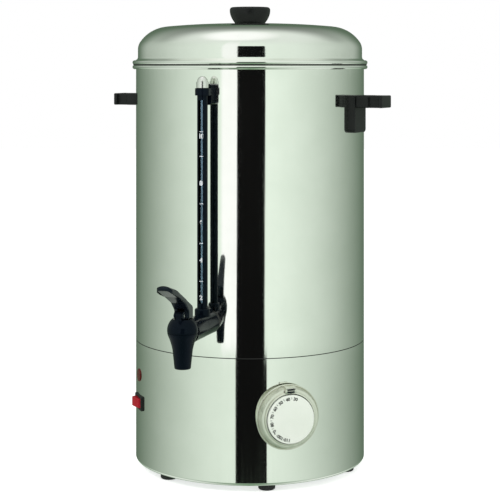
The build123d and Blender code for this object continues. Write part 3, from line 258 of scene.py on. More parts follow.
def calcWith(nodes, links):
    # makes a function that adds one sum to the node tree and gives its result
    def calc(operation, first, second=0.0):
        node = nodes.new("ShaderNodeMath")
        node.operation = operation
        for socket, value in zip(node.inputs, (first, second)):
            if isinstance(value, float):
                socket.default_value = value
            else:
                links.new(value, socket)
        return node.outputs["Value"]

    return calc


def grainNoise(nodes, links, coords, stretch, scale, detail=4):
    mapping = nodes.new("ShaderNodeMapping")
    mapping.inputs["Scale"].default_value = stretch
    links.new(coords.outputs["Object"], mapping.inputs["Vector"])
    noise = nodes.new("ShaderNodeTexNoise")
    noise.inputs["Scale"].default_value = scale
    noise.inputs["Detail"].default_value = detail
    links.new(mapping.outputs["Vector"], noise.inputs["Vector"])
    return noise


def spread(nodes, links, noise, low, high):
    remap = nodes.new("ShaderNodeMapRange")
    remap.inputs["From Min"].default_value = 0.3
    remap.inputs["From Max"].default_value = 0.7
    remap.inputs["To Min"].default_value = low
    remap.inputs["To Max"].default_value = high
    links.new(noise.outputs["Fac"], remap.inputs["Value"])
    return remap.outputs["Result"]


def tint(nodes, links, noise, dark, light):
    ramp = nodes.new("ShaderNodeValToRGB")
    ramp.color_ramp.elements[0].position = 0.35
    ramp.color_ramp.elements[0].color = (*dark, 1)
    ramp.color_ramp.elements[1].position = 0.65
    ramp.color_ramp.elements[1].color = (*light, 1)
    links.new(noise.outputs["Fac"], ramp.inputs["Fac"])
    return ramp.outputs["Color"]


def bump(nodes, links, noise, strength, distance):
    relief = nodes.new("ShaderNodeBump")
    relief.inputs["Strength"].default_value = strength
    relief.inputs["Distance"].default_value = distance
    links.new(noise.outputs["Fac"], relief.inputs["Height"])
    return relief.outputs["Normal"]


def metalFinish(name, dark, light, roughLow, roughHigh, stretch, scale, relief):
    finish, nodes, links, shader, coords = newFinish(name)
    shader.inputs["Metallic"].default_value = 1.0
    grain = grainNoise(nodes, links, coords, stretch, scale)
    wear = grainNoise(nodes, links, coords, (1, 1, 1), 24, 6)
    links.new(tint(nodes, links, wear, dark, light), shader.inputs["Base Color"])
    links.new(spread(nodes, links, grain, roughLow, roughHigh), shader.inputs["Roughness"])
    links.new(bump(nodes, links, grain, relief, 0.0002), shader.inputs["Normal"])
    return finish


def mouldedFinish(
    name, dark, light, roughLow, roughHigh, grainScale, relief, coat=0.0, shine=0.5, gloss=(1, 1, 1)
):
    finish, nodes, links, shader, coords = newFinish(name)
    grain = grainNoise(nodes, links, coords, (1, 1, 1), grainScale, 5)
    cloud = grainNoise(nodes, links, coords, (1, 1, 1), 35, 3)
    links.new(tint(nodes, links, cloud, dark, light), shader.inputs["Base Color"])
    links.new(spread(nodes, links, cloud, roughLow, roughHigh), shader.inputs["Roughness"])
    links.new(bump(nodes, links, grain, relief, 0.0001), shader.inputs["Normal"])
    shader.inputs["Specular IOR Level"].default_value = shine
    shader.inputs["Specular Tint"].default_value = (*gloss, 1)
    shader.inputs["Coat Weight"].default_value = coat
    shader.inputs["Coat Roughness"].default_value = 0.08
    return finish


def gaugeGlassFinish():
    finish, nodes, links, shader, coords = newFinish("gaugeGlass")
    shader.inputs["Transmission Weight"].default_value = 1.0
    shader.inputs["IOR"].default_value = 1.12
    smear = grainNoise(nodes, links, coords, (1, 1, 0.2), 60)
    links.new(spread(nodes, links, smear, 0.0, 0.008), shader.inputs["Roughness"])
    glassTone = tint(nodes, links, smear, (0.86, 0.9, 0.94), (0.92, 0.95, 0.98))
    links.new(glassTone, shader.inputs["Base Color"])
    return finish


def lampLensFinish():
    finish, nodes, links, shader, coords = newFinish("lampLens")
    facets = nodes.new("ShaderNodeTexVoronoi")
    facets.inputs["Scale"].default_value = 900
    links.new(coords.outputs["Object"], facets.inputs["Vector"])
    ramp = nodes.new("ShaderNodeValToRGB")
    ramp.color_ramp.elements[0].color = (0.13, 0.01, 0.008, 1)
    ramp.color_ramp.elements[1].color = (0.06, 0.005, 0.004, 1)
    links.new(facets.outputs["Distance"], ramp.inputs["Fac"])
    links.new(ramp.outputs["Color"], shader.inputs["Base Color"])
    relief = nodes.new("ShaderNodeBump")
    relief.inputs["Strength"].default_value = 0.3
    relief.inputs["Distance"].default_value = 0.0003
    links.new(facets.outputs["Distance"], relief.inputs["Height"])
    links.new(relief.outputs["Normal"], shader.inputs["Normal"])
    shader.inputs["Roughness"].default_value = 0.22
    shader.inputs["Specular IOR Level"].default_value = 0.2
    return finish


def ribbedChromeFinish():
    # satin chrome whose slope carries fine ribs that point at the middle of the dial, and whose gap round
    # the disc is painted dark as shade
    finish, nodes, links, shader, coords = newFinish("ribbedChrome")
    shader.inputs["Metallic"].default_value = 1.0
    cloud = grainNoise(nodes, links, coords, (1, 1, 1), 120)
    plated = tint(nodes, links, cloud, (0.74, 0.745, 0.66), (0.8, 0.8, 0.72))
    links.new(spread(nodes, links, cloud, 0.16, 0.24), shader.inputs["Roughness"])
    centre = nodes.new("ShaderNodeMapping")
    centre.inputs["Rotation"].default_value = (0, 0, radians(-dialAzimuth))
    centre.inputs["Location"].default_value = (0, 0, -dialShape["height"] * mm)
    links.new(coords.outputs["Object"], centre.inputs["Vector"])
    split = nodes.new("ShaderNodeSeparateXYZ")
    links.new(centre.outputs["Vector"], split.inputs["Vector"])
    calc = calcWith(nodes, links)
    x, z = split.outputs["X"], split.outputs["Z"]
    wave = calc("SINE", calc("MULTIPLY", calc("ARCTAN2", x, z), float(dialShape["ribs"])))
    reach = calc("SQRT", calc("ADD", calc("MULTIPLY", x, x), calc("MULTIPLY", z, z)))
    slopeFrom, slopeTo = (dialShape["slope"] - 0.1) * mm, (dialShape["rim"] - 0.3) * mm
    onSlope = calc("MULTIPLY", calc("GREATER_THAN", reach, slopeFrom), calc("LESS_THAN", reach, slopeTo))
    # painted shade: inside the ring's inner edge the chrome is coloured near black, where the gap round
    # the disc falls in shadow
    paintedGapShade = nodes.new("ShaderNodeMix")
    paintedGapShade.data_type = "RGBA"
    links.new(calc("LESS_THAN", reach, (dialShape["inner"] + 0.1) * mm), paintedGapShade.inputs["Factor"])
    links.new(plated, paintedGapShade.inputs[6])
    paintedGapShade.inputs[7].default_value = (0.02, 0.024, 0.018, 1)
    links.new(paintedGapShade.outputs[2], shader.inputs["Base Color"])
    relief = nodes.new("ShaderNodeBump")
    relief.inputs["Strength"].default_value = 0.7
    relief.inputs["Distance"].default_value = 0.0002
    links.new(calc("MULTIPLY", wave, onSlope), relief.inputs["Height"])
    links.new(relief.outputs["Normal"], shader.inputs["Normal"])
    return finish


polishedSteel = metalFinish(
    "polishedSteel", (0.86, 0.885, 0.83), (0.9, 0.92, 0.87), 0.03, 0.075, (1.5, 1.5, 0.04), 220, 0.02
)
lidSteel = metalFinish(
    "lidSteel", (0.86, 0.885, 0.83), (0.9, 0.92, 0.87), 0.04, 0.08, (1, 1, 1), 160, 0.01
)
chromePlate = metalFinish(
    "chromePlate", (0.82, 0.82, 0.79), (0.88, 0.88, 0.85), 0.2, 0.28, (1, 1, 1), 300, 0.03
)
zincPlate = metalFinish(
    "zincPlate", (0.5, 0.52, 0.54), (0.66, 0.67, 0.66), 0.3, 0.5, (1, 1, 1), 180, 0.15
)
brassBar = metalFinish(
    "brassBar", (0.62, 0.44, 0.16), (0.74, 0.55, 0.24), 0.22, 0.36, (1, 1, 1), 200, 0.1
)
spunAluminium = metalFinish(
    "spunAluminium", (0.68, 0.69, 0.7), (0.78, 0.78, 0.79), 0.28, 0.45, (1, 1, 1), 260, 0.12
)
heatedSteel = metalFinish(
    "heatedSteel", (0.2, 0.18, 0.16), (0.36, 0.33, 0.29), 0.35, 0.55, (1, 1, 1), 140, 0.2
)
glossBlack = mouldedFinish(
    "glossBlack", (0.0022, 0.004, 0.007), (0.004, 0.006, 0.01), 0.12, 0.2, 900, 0.03, 0.0, 0.09,
    (0.6, 0.8, 1.0)
)
leverBlack = mouldedFinish(
    "leverBlack", (0.003, 0.005, 0.008), (0.005, 0.007, 0.011), 0.1, 0.18, 900, 0.03, 0.0, 0.17,
    (0.6, 0.82, 1.0)
)
handleBlack = mouldedFinish(
    "handleBlack", (0.006, 0.007, 0.007), (0.011, 0.012, 0.012), 0.34, 0.46, 1400, 0.16, 0.0, 0.25
)
dullBlack = mouldedFinish(
    "dullBlack", (0.01, 0.011, 0.01), (0.016, 0.018, 0.016), 0.45, 0.6, 1200, 0.2, 0.0, 0.2
)
dialWhite = mouldedFinish(
    "dialWhite", (0.84, 0.89, 0.8), (0.88, 0.92, 0.84), 0.3, 0.4, 1500, 0.03, 0.1
)
rockerRed = mouldedFinish(
    "rockerRed", (0.34, 0.001, 0.01), (0.42, 0.002, 0.015), 0.2, 0.3, 800, 0.03, 0.0, 0.2
)
creamCeramic = mouldedFinish(
    "creamCeramic", (0.6, 0.56, 0.44), (0.72, 0.68, 0.56), 0.4, 0.6, 700, 0.1
)
# black rubber for the feet, also worn by the dark rings that paint the shade in the lid's groove and the
# skirt's seam
rubberAndPaintedShade = mouldedFinish(
    "rubberAndPaintedShade", (0.012, 0.012, 0.012), (0.026, 0.026, 0.026), 0.6, 0.8, 1100, 0.25
)
whiteSilicone = mouldedFinish(
    "whiteSilicone", (0.6, 0.6, 0.58), (0.72, 0.72, 0.7), 0.4, 0.55, 800, 0.05
)
leadSleeve = mouldedFinish(
    "leadSleeve", (0.3, 0.1, 0.05), (0.42, 0.16, 0.08), 0.35, 0.5, 900, 0.05
)
printBlack = mouldedFinish("printBlack", (0.01, 0.01, 0.01), (0.02, 0.02, 0.02), 0.5, 0.6, 900, 0.02)
printWhite = mouldedFinish("printWhite", (0.82, 0.84, 0.86), (0.9, 0.92, 0.94), 0.4, 0.5, 900, 0.02)
scaleSlate = metalFinish(
    "scaleSlate", (0.14, 0.21, 0.25), (0.15, 0.225, 0.265), 0.06, 0.1, (1, 1, 1), 400, 0.0
)
gaugeGlass = gaugeGlassFinish()
lampLens = lampLensFinish()
ribbedChrome = ribbedChromeFinish()

finishOfSlot = {
    "steel": polishedSteel, "black_plastic": glossBlack, "dark_plastic": dullBlack, "glass": gaugeGlass,
    "chrome": chromePlate, "rubber": rubberAndPaintedShade, "silicone": whiteSilicone, "zinc": zincPlate,
    "brass": brassBar, "aluminium": spunAluminium, "white_plastic": dialWhite, "red_plastic": rockerRed,
    "lamp_red": lampLens, "cream_plastic": creamCeramic, "wire": leadSleeve, "element_steel": heatedSteel,
}
for nodeName, node in frame["nodes"].items():
    node.data.materials.clear()
    node.data.materials.append(finishOfSlot[slotOf[nodeName]])
print("finishes mixed")

# places read from the frame
skirtLow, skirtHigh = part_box("base_skirt")
wallLow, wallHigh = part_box("tank_wall")
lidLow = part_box("lid_shell")[0]
knobLow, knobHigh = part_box("lid_knob")
bodyRadius = skirtHigh.x / mm
bodySheet = 0.8

# tank wall with its rolled bead
wallShape = {"beadRadius": 2.4, "sides": 256}


def makeTankWall():
    bead = wallShape["beadRadius"]
    inner = bodyRadius - bodySheet
    beadCircle = inner + bead
    beadHeight = wallHigh.z / mm - bead
    meet = degrees(atan2(-sqrt(bead**2 - (bead - bodySheet) ** 2), bodySheet - bead))
    rings = [(inner, wallLow.z / mm), (bodyRadius, wallLow.z / mm)]
    rings += arcRings(beadCircle, beadHeight, bead, meet, 180, 16)
    rings += [(inner, wallLow.z / mm)]
    wall = turnOnLathe("tankWall", rings, wallShape["sides"])
    settle(wall, 30)
    place(wall, "tank_wall", "urn", polishedSteel)


makeTankWall()

# base skirt with the curl at its foot
skirtShape = {"corner": 3.0, "lip": 5.6, "sides": 256}


def makeBaseSkirt():
    low, high = skirtLow.z / mm, skirtHigh.z / mm
    corner, inner = skirtShape["corner"], bodyRadius - bodySheet
    lip = bodyRadius - skirtShape["lip"]
    rings = [(inner, high), (bodyRadius, high), (bodyRadius, low + corner + 0.5)]
    rings += arcRings(bodyRadius - corner, low + corner, corner, 0, -90, 8)
    rings += [(lip, low), (lip, low + bodySheet)]
    rings += arcRings(bodyRadius - corner, low + corner, corner - bodySheet, -90, 0, 8)
    rings += [(inner, high)]
    skirt = turnOnLathe("baseSkirt", rings, skirtShape["sides"])
    settle(skirt, 30)
    place(skirt, "base_skirt", "urn", polishedSteel)


makeBaseSkirt()

# dark ring in the seam between tank and skirt: painted shade where the seam falls in shadow
seamShadeShape = {"inset": 0.45}


def makeSeamSeal():
    low, high = skirtHigh.z / mm, wallLow.z / mm
    outer = bodyRadius - seamShadeShape["inset"]
    inner = bodyRadius - bodySheet + 0.02
    rings = [(inner, low), (outer, low), (outer + 0.1, (low + high) / 2), (outer, high), (inner, high)]
    shadeRing = turnOnLathe("seamShadeRing", rings + [(inner, low)], 256)
    settle(shadeRing, 60)
    trim(shadeRing, "urn", rubberAndPaintedShade)


makeSeamSeal()
print("tank and skirt turned")

# lid
lidShape = {
    "beadRadius": 2.4, "beadSweep": (200, 470), "lipDepth": 8.5, "wallInset": 2.1, "wallRise": 14.5,
    "shoulder": 15.4, "shoulderAngle": 35.0, "dome": 39.5, "domeAngle": 49.6, "flat": 20.0, "hole": 2.8,
    "shadeReach": 1.6, "shadeHalf": 0.45, "sides": 256,
}


def lidCrown(inset):
    # rings from the lip up to the flat of the crown, drawn in by inset
    wall = bodyRadius - lidShape["wallInset"]
    bead = lidShape["beadRadius"]
    beadHeight = lidLow.z / mm + lidShape["lipDepth"] + bead
    first = lidShape["shoulderAngle"]
    second = first + lidShape["domeAngle"]
    start = beadHeight + lidShape["wallRise"]
    rings = arcRings(wall - lidShape["shoulder"], start, lidShape["shoulder"] - inset, 0, first, 10)
    step = lidShape["dome"] - lidShape["shoulder"]
    cx = wall - lidShape["shoulder"] - step * cos(radians(first))
    cz = start - step * sin(radians(first))
    rings += arcRings(cx, cz, lidShape["dome"] - inset, first, second, 16)[1:]
    domeEnd = cx + lidShape["dome"] * cos(radians(second))
    crown = (domeEnd - lidShape["flat"]) / cos(radians(second))
    step = crown - lidShape["dome"]
    cx -= step * cos(radians(second))
    cz -= step * sin(radians(second))
    rings += arcRings(cx, cz, crown - inset, second, 90, 20)[1:]
    return rings


def makeLid():
    wall = bodyRadius - lidShape["wallInset"]
    bead = lidShape["beadRadius"]
    low = lidLow.z / mm
    beadHeight = low + lidShape["lipDepth"] + bead
    beadCircle = bodyRadius - bodySheet + bead
    outside = [(wall - bodySheet, low), (wall, low), (wall, beadHeight - 0.9)]
    outside += arcRings(beadCircle, beadHeight, bead, *lidShape["beadSweep"], 26)
    # short rings hold the wall's shading straight next to the bead and the shoulder
    outside += [(wall + 0.5, beadHeight + 1.7 * bead), (wall, beadHeight + 2.4 * bead)]
    outside += [(wall, beadHeight + 2.6 * bead), (wall, beadHeight + lidShape["wallRise"] - 0.6)]
    outside += lidCrown(0)
    outside += [(lidShape["hole"], outside[-1][1])]
    inside = lidCrown(bodySheet)
    inside += [(lidShape["hole"], inside[-1][1])]
    rings = outside + inside[::-1] + [(wall - bodySheet, low)]
    lid = turnOnLathe("lidShell", rings, lidShape["sides"])
    settle(lid, 30)
    place(lid, "lid_shell", "lid", lidSteel)


def makeLidGasket():
    # thin dark wedge in the groove between the lid's bead and the tank's, painted shade where the groove
    # falls in shadow
    rest = lidLow.z / mm + lidShape["lipDepth"]
    beadCircle = bodyRadius - bodySheet + lidShape["beadRadius"]
    root, lip = beadCircle + 0.7, beadCircle + lidShape["shadeReach"]
    half = lidShape["shadeHalf"]
    rings = [(root, rest), (lip, rest - half), (lip, rest + half), (root, rest)]
    grooveShade = turnOnLathe("lidGrooveShade", rings, lidShape["sides"])
    settle(grooveShade, 30)
    trim(grooveShade, "lid", rubberAndPaintedShade)


makeLid()
makeLidGasket()

# knob on the lid
knobShape = {"base": 16.3, "flare": 6.5, "edge": 3.2, "sides": 96}


def makeLidKnob():
    low, high = knobLow.z / mm, knobHigh.z / mm
    base, edge = knobShape["base"], knobShape["edge"]
    rim = base + knobShape["flare"]
    rings = [(4.2, low), (base, low)]
    rings += sweptCurve((base, low), (rim + 0.2, low + 0.42 * (high - low)), (rim, high - edge), 12)[1:]
    rings += arcRings(rim - edge, high - edge, edge, 0, 90, 8)[1:]
    rings += [(0.6 * base, high), (1.0, high)]
    knob = turnOnLathe("lidKnob", rings, knobShape["sides"], capStart=True, capEnd=True)
    settle(knob, 40)
    place(knob, "lid_knob", "lid", handleBlack)


makeLidKnob()
print("lid and knob turned")

# side handles
for handleNode, handleName in (("handle_right", "handleRight"), ("handle_left", "handleLeft")):
    place(finishedCopy(handleNode, handleName), handleNode, "urn", handleBlack)
print("handles fitted")

# tap: ball, spout, neck and shank
tapAzimuth = -19.5
tapShape = {
    "height": 181.0, "ballReach": 201.3, "ball": 15.6, "bonnetRise": 9.3, "blendDrop": 5.8,
    "waist": 10.2, "waistHeight": 161.5, "tip": 8.3, "tipHeight": 142.6, "tipEdge": 1.0, "bore": 4.8,
    "thread": 8.5, "seat": 172.0, "groove": 0.45, "grooveDrop": 2.4, "neck": 12.2, "socketReach": 157.0,
    "neckEdge": 0.8, "neckBore": 5.0, "shankHeight": 177.2, "shank": 8.0, "shankEnd": 112.0, "sides": 96,
    "neckSides": 72,
}


def makeTapBody():
    t = tapShape
    top = degrees(atan2(t["bonnetRise"], sqrt(t["ball"] ** 2 - t["bonnetRise"] ** 2)))
    notch = degrees(atan2(-t["grooveDrop"], t["ball"]))
    blend = degrees(atan2(-t["blendDrop"], sqrt(t["ball"] ** 2 - t["blendDrop"] ** 2)))
    rings = [(t["thread"], t["seat"]), (t["thread"], t["height"] + t["bonnetRise"])]
    rings += arcRings(0, t["height"], t["ball"], top, notch + 1.6, 16)
    rings += arcRings(0, t["height"], t["ball"] - t["groove"], notch + 0.8, notch - 0.8, 1)
    rings += arcRings(0, t["height"], t["ball"], notch - 1.6, blend, 5)
    start, end = rings[-1], (t["waist"], t["waistHeight"])
    rings += sweptCurve(start, (t["waist"] + 1.5, t["waistHeight"] + 7.5), end, 12)[1:]
    rings += [(t["tip"], t["tipHeight"] + t["tipEdge"])]
    rings += arcRings(t["tip"] - t["tipEdge"], t["tipHeight"] + t["tipEdge"], t["tipEdge"], 0, -90, 5)[1:]
    rings += [(t["bore"], t["tipHeight"]), (t["bore"], t["seat"]), (t["thread"], t["seat"])]
    ball = turnOnLathe("tapBody", rings, t["sides"])
    pickOnly(ball)
    bpy.ops.transform.translate(value=(0, -t["ballReach"] * mm, 0))
    settle(ball, 32)
    reach = t["ballReach"] - t["ball"] * 0.8
    bore, edge = t["neckBore"], t["neckEdge"]
    rings = [
        (bore, t["shankEnd"]), (t["shank"], t["shankEnd"]), (t["shank"], t["socketReach"]),
        (t["neck"] - edge, t["socketReach"]), (t["neck"], t["socketReach"] + edge),
        (t["neck"], reach - 3), (t["neck"] + 0.6, reach), (bore, reach), (bore, t["shankEnd"]),
    ]
    neck = turnOnLathe("tapNeck", rings, t["neckSides"])
    settle(neck, 32)
    neck.rotation_euler = (radians(90), 0, 0)
    neck.location = (0, 0, t["shankHeight"] * mm)
    settle(neck, 32)
    joinPieces(ball, neck)
    turnTo(ball, tapAzimuth)
    place(ball, "tap_body", "urn", glossBlack)


makeTapBody()
place(finishedCopy("tap_bonnet", "tapBonnet"), "tap_bonnet", "urn", glossBlack)

leverShape = {"voxel": 0.55, "rounding": 4, "crown": 2.2, "crownFrom": 214.0, "width": 7.6}


def makeTapLever():
    # remeshed finely so that its edges round over, then the paddle's top is crowned across
    lever = finishedCopy("tap_lever", "tapLever", 40)
    applyModifier(lever, "REMESH", mode="VOXEL", voxel_size=leverShape["voxel"] * mm)
    applyModifier(lever, "SMOOTH", factor=0.5, iterations=leverShape["rounding"])
    turnTo(lever, -tapAzimuth)
    for vertex in lever.data.vertices:
        height = vertex.co.z / mm - leverShape["crownFrom"]
        if height > 0 and vertex.normal.z > -0.3:
            across = min(abs(vertex.co.x) / mm / leverShape["width"], 1)
            vertex.co.z -= leverShape["crown"] * across**2 * min(height / 10, 1) * mm
    turnTo(lever, tapAzimuth)
    pickOnly(lever)
    bpy.ops.object.shade_smooth()
    place(lever, "tap_lever", "lever", leverBlack)


makeTapLever()


def makeTapSpring():
    # the spring, which shortens towards its upper end as the valve rises, is copied welded and given a
    # mesh of its own
    spring = finishedCopy("tap_spring", "tapSpring", 60)
    place(spring, "tap_spring", "urn", zincPlate)
    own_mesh(spring)


makeTapSpring()
place(finishedCopy("gauge_socket", "gaugeSocket"), "gauge_socket", "urn", glossBlack)
print("tap fitted")

# sight gauge
gaugeShape = {
    "reach": 147.2, "glass": 4.0, "glassWall": 1.1, "guard": 5.5, "guardWall": 1.2, "window": 5.4,
    "windowLow": 199.8, "windowHigh": 409.2, "stripRadius": 2.75, "stripEdge": 0.3, "printGap": 0.06,
    "markType": (6.6, 0.28, 0.85), "tick": (4.0, 0.1, 0.8), "tickShift": 0.3,
}
gaugeNumbers = {"2": 205.6, "4": 244.3, "6": 283.0, "8": 323.7, "10": 372.1}
gaugeTicks = (222.7, 261.9, 302.6, 351.5, 376.8)


def moveToGauge(piece):
    pickOnly(piece)
    piece.location.y -= gaugeShape["reach"] * mm
    bpy.ops.object.transform_apply(location=True)
    turnTo(piece, tapAzimuth)


def makeGaugeGuard():
    low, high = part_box("gauge_guard")
    outer, inner = gaugeShape["guard"], gaugeShape["guard"] - gaugeShape["guardWall"]
    guard = turnOnLathe("gaugeGuard", tubeRings(inner, outer, low.z / mm, high.z / mm), 64)
    settle(guard)
    middle = (gaugeShape["windowLow"] + gaugeShape["windowHigh"]) / 2
    tall = gaugeShape["windowHigh"] - gaugeShape["windowLow"]
    cutAway(guard, boxAt(gaugeShape["window"], 8, tall, (0, -5.5, middle)))
    settle(guard, 32)
    moveToGauge(guard)
    place(guard, "gauge_guard", "urn", glossBlack)


def makeGaugeTube():
    low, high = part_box("gauge_tube")
    outer, inner = gaugeShape["glass"], gaugeShape["glass"] - gaugeShape["glassWall"]
    low, high = low.z / mm, high.z / mm
    tube = turnOnLathe("gaugeTube", tubeRings(inner, outer, low, high), 48)
    settle(tube)
    moveToGauge(tube)
    place(tube, "gauge_tube", "urn", gaugeGlass)
    radius, edge = gaugeShape["stripRadius"], gaugeShape["stripEdge"]
    low, high = low + 1, high - 5
    rings = [(0.4, low), (radius - edge, low), (radius, low + edge), (radius, high - edge)]
    rings += [(radius - edge, high), (0.4, high)]
    strip = turnOnLathe("gaugeStrip", rings, 48, capStart=True, capEnd=True)
    settle(strip)
    moveToGauge(strip)
    trim(strip, "urn", scaleSlate)


def makeGaugeMarks():
    marks = []
    surface = gaugeShape["glass"] + gaugeShape["printGap"]
    for label, height in gaugeNumbers.items():
        mark = printedText(label, *gaugeShape["markType"])
        setDown(mark, (radians(90), 0, 0), (0, -surface * mm, height * mm))
        marks.append(mark)
    for height in gaugeTicks:
        marks.append(boxAt(*gaugeShape["tick"], (gaugeShape["tickShift"], -surface, height)))
    gaugeMarks = joinPieces(*marks)
    gaugeMarks.name = "gaugeMarks"
    for vertex in gaugeMarks.data.vertices:
        # the flat print is wrapped round the glass
        depth = -surface * mm - vertex.co.y
        vertex.co.y = -sqrt(max((surface * mm) ** 2 - vertex.co.x**2, 0)) - depth
    moveToGauge(gaugeMarks)
    trim(gaugeMarks, "urn", printWhite)


makeGaugeGuard()
makeGaugeTube()
makeGaugeMarks()
place(finishedCopy("gauge_clip", "gaugeClip"), "gauge_clip", "urn", glossBlack)
place(finishedCopy("gauge_cap", "gaugeCap"), "gauge_cap", "urn", chromePlate)
print("sight gauge fitted")


def faceOutward(piece):
    # from lying on the ground to facing out of the skirt at the dial's place
    setDown(piece, (radians(90), 0, 0), (0, 0, dialShape["height"] * mm))
    turnTo(piece, dialAzimuth)


def makeDialBezel():
    d = dialShape
    rings = [(d["inner"], d["back"]), (6.6, d["back"]), (6.6, d["root"]), (d["foot"], d["root"])]
    flange = d["rimReach"] - d["flange"]
    rings += [(d["foot"], flange), (d["bezel"] - 0.3, flange), (d["bezel"], flange + 0.3)]
    rings += arcRings(d["bezel"] - d["edge"], d["rimReach"] - d["edge"], d["edge"], 0, 90, 4)
    rings += arcRings(d["rim"] + 0.3, d["rimReach"] - 0.3, 0.3, 90, 180, 3)
    rings += [(d["rim"] - 0.4, d["rimReach"] + 0.6)]
    rings += arcRings(d["slope"] - d["edge"], d["faceReach"] - d["edge"], d["edge"], 0, 90, 4)
    rings += [(d["step"] + 0.2, d["faceReach"]), (d["step"], d["faceReach"] + 0.2)]
    rings += arcRings(d["step"] - 0.4, d["stepReach"] - 0.4, 0.4, 0, 90, 3)
    rings += [(d["inner"] + 0.2, d["stepReach"]), (d["inner"], d["stepReach"] - 0.2)]
    rings += [(d["inner"], d["back"])]
    bezel = turnOnLathe("dialBezel", rings, d["sides"])
    settle(bezel, 30)
    faceOutward(bezel)
    joinPieces(bezel, makeIndexBlock())
    place(bezel, "dial_bezel", "urn", ribbedChrome)


def makeIndexBlock():
    # raised block at the top of the ring, narrower upwards, its edges eased
    i = indexShape
    start = dialShape["rimReach"]
    tall = i["high"] - i["low"]
    middle = dialShape["height"] + (i["high"] + i["low"]) / 2
    index = boxAt(i["width"], i["reach"] - start, tall, (0, -(i["reach"] + start) / 2, middle))
    selectVerts(index, lambda vertex: vertex.co.z > middle * mm)
    k = 1 - 2 * i["taper"] / i["width"]
    bpy.ops.transform.resize(value=(k, 1, 1), center_override=(0, 0, 0))
    bpy.ops.mesh.select_all(action="SELECT")
    bpy.ops.mesh.bevel(offset=i["edge"] * mm, segments=3, affect="EDGES")
    bpy.ops.object.mode_set(mode="OBJECT")
    settle(index, 40)
    turnTo(index, dialAzimuth)
    return index


def makeDialDisc():
    d = dialShape
    back = d["front"] - d["thickness"]
    rings = [(3.0, d["back"] + 0.3), (6.0, d["back"] + 0.3), (6.0, back), (d["disc"], back)]
    rings += arcRings(d["disc"] - d["discRim"], d["front"] - d["discRim"], d["discRim"], 0, 90, 5)
    rings += [(1.0, d["front"])]
    disc = turnOnLathe("dialDisc", rings, d["sides"], capStart=True, capEnd=True)
    settle(disc, 35)
    faceOutward(disc)
    place(disc, "dial_knob", "dial", dialWhite)


def makeDialMarks():
    d = dialShape
    marks = []
    labels = [str(n) for n in range(30, 120, 10)]
    for i, label in enumerate(labels):
        angle = d["firstNumber"] - d["numberStep"] * i
        mark = printedText(label, d["numberSize"], d["numberBold"])
        a = radians(angle)
        ring = d["numberRing"] * mm
        setDown(mark, (0, 0, -a), (ring * sin(a), ring * cos(a), (d["front"] + 0.03) * mm))
        marks.append(mark)
        if i < len(labels) - 1:
            a = radians(angle - d["numberStep"] / 2)
            tick = boxAt(*d["tick"], (0, d["tickRing"], d["front"] + 0.02))
            setDown(tick, (0, 0, -a), (0, 0, 0))
            marks.append(tick)
    dialMarks = joinPieces(*marks)
    dialMarks.name = "dialMarks"
    faceOutward(dialMarks)
    trim(dialMarks, "dial", printBlack)


makeDialBezel()
makeDialDisc()
makeDialMarks()
print("dial fitted")


# room, light and camera
# polished metal mirrors a plain studio: pale walls that dim towards the back, a white card to
# the left, a dark card ahead, a lit ceiling with a softbox, and a ground that is paler at the sides
roomShape = {
    "litTone": (0.9, 1.0, 0.9), "dimTone": (0.1, 0.15, 0.1), "lowShare": 0.9,
    "whiteMiddle": -20.0, "whiteEdge": (10.0, 6.0), "whiteTone": (1.1, 1.1, 1.1),
    "cardHalfAngle": 13.7, "cardLow": 15.2, "cardTop": 19.5, "cardLean": (0.35, 1.3), "leanTop": -1.0,
    "cardTone": (0.005, 0.005, 0.005), "plainLevel": 0.72, "plainTone": (0.96, 1.0, 0.96),
    "boxDirection": (-0.11, -0.03, 0.99), "boxEdge": (0.9, 0.99), "boxTone": (1.1, 1.1, 1.1),
    "overTone": (0.8, 0.85, 0.8), "behindTone": (0.05, 0.05, 0.05), "behindEdge": (100.0, 140.0),
    "crownRise": (20.0, 72.0), "lidShare": 0.35, "lidEdge": 0.3, "lidDepth": (0.95, 0.6),
    "skirtFrom": -11.2, "skirtRamp": 0.4, "floorFrom": -16.2, "floorRamp": 2.0,
    "floorTone": (0.3, 0.4, 0.3), "groundFrom": -18.6, "groundRamp": 4.0,
    "groundTone": (0.2, 0.3, 0.2), "groundSideTone": (0.8, 0.85, 0.8),
}


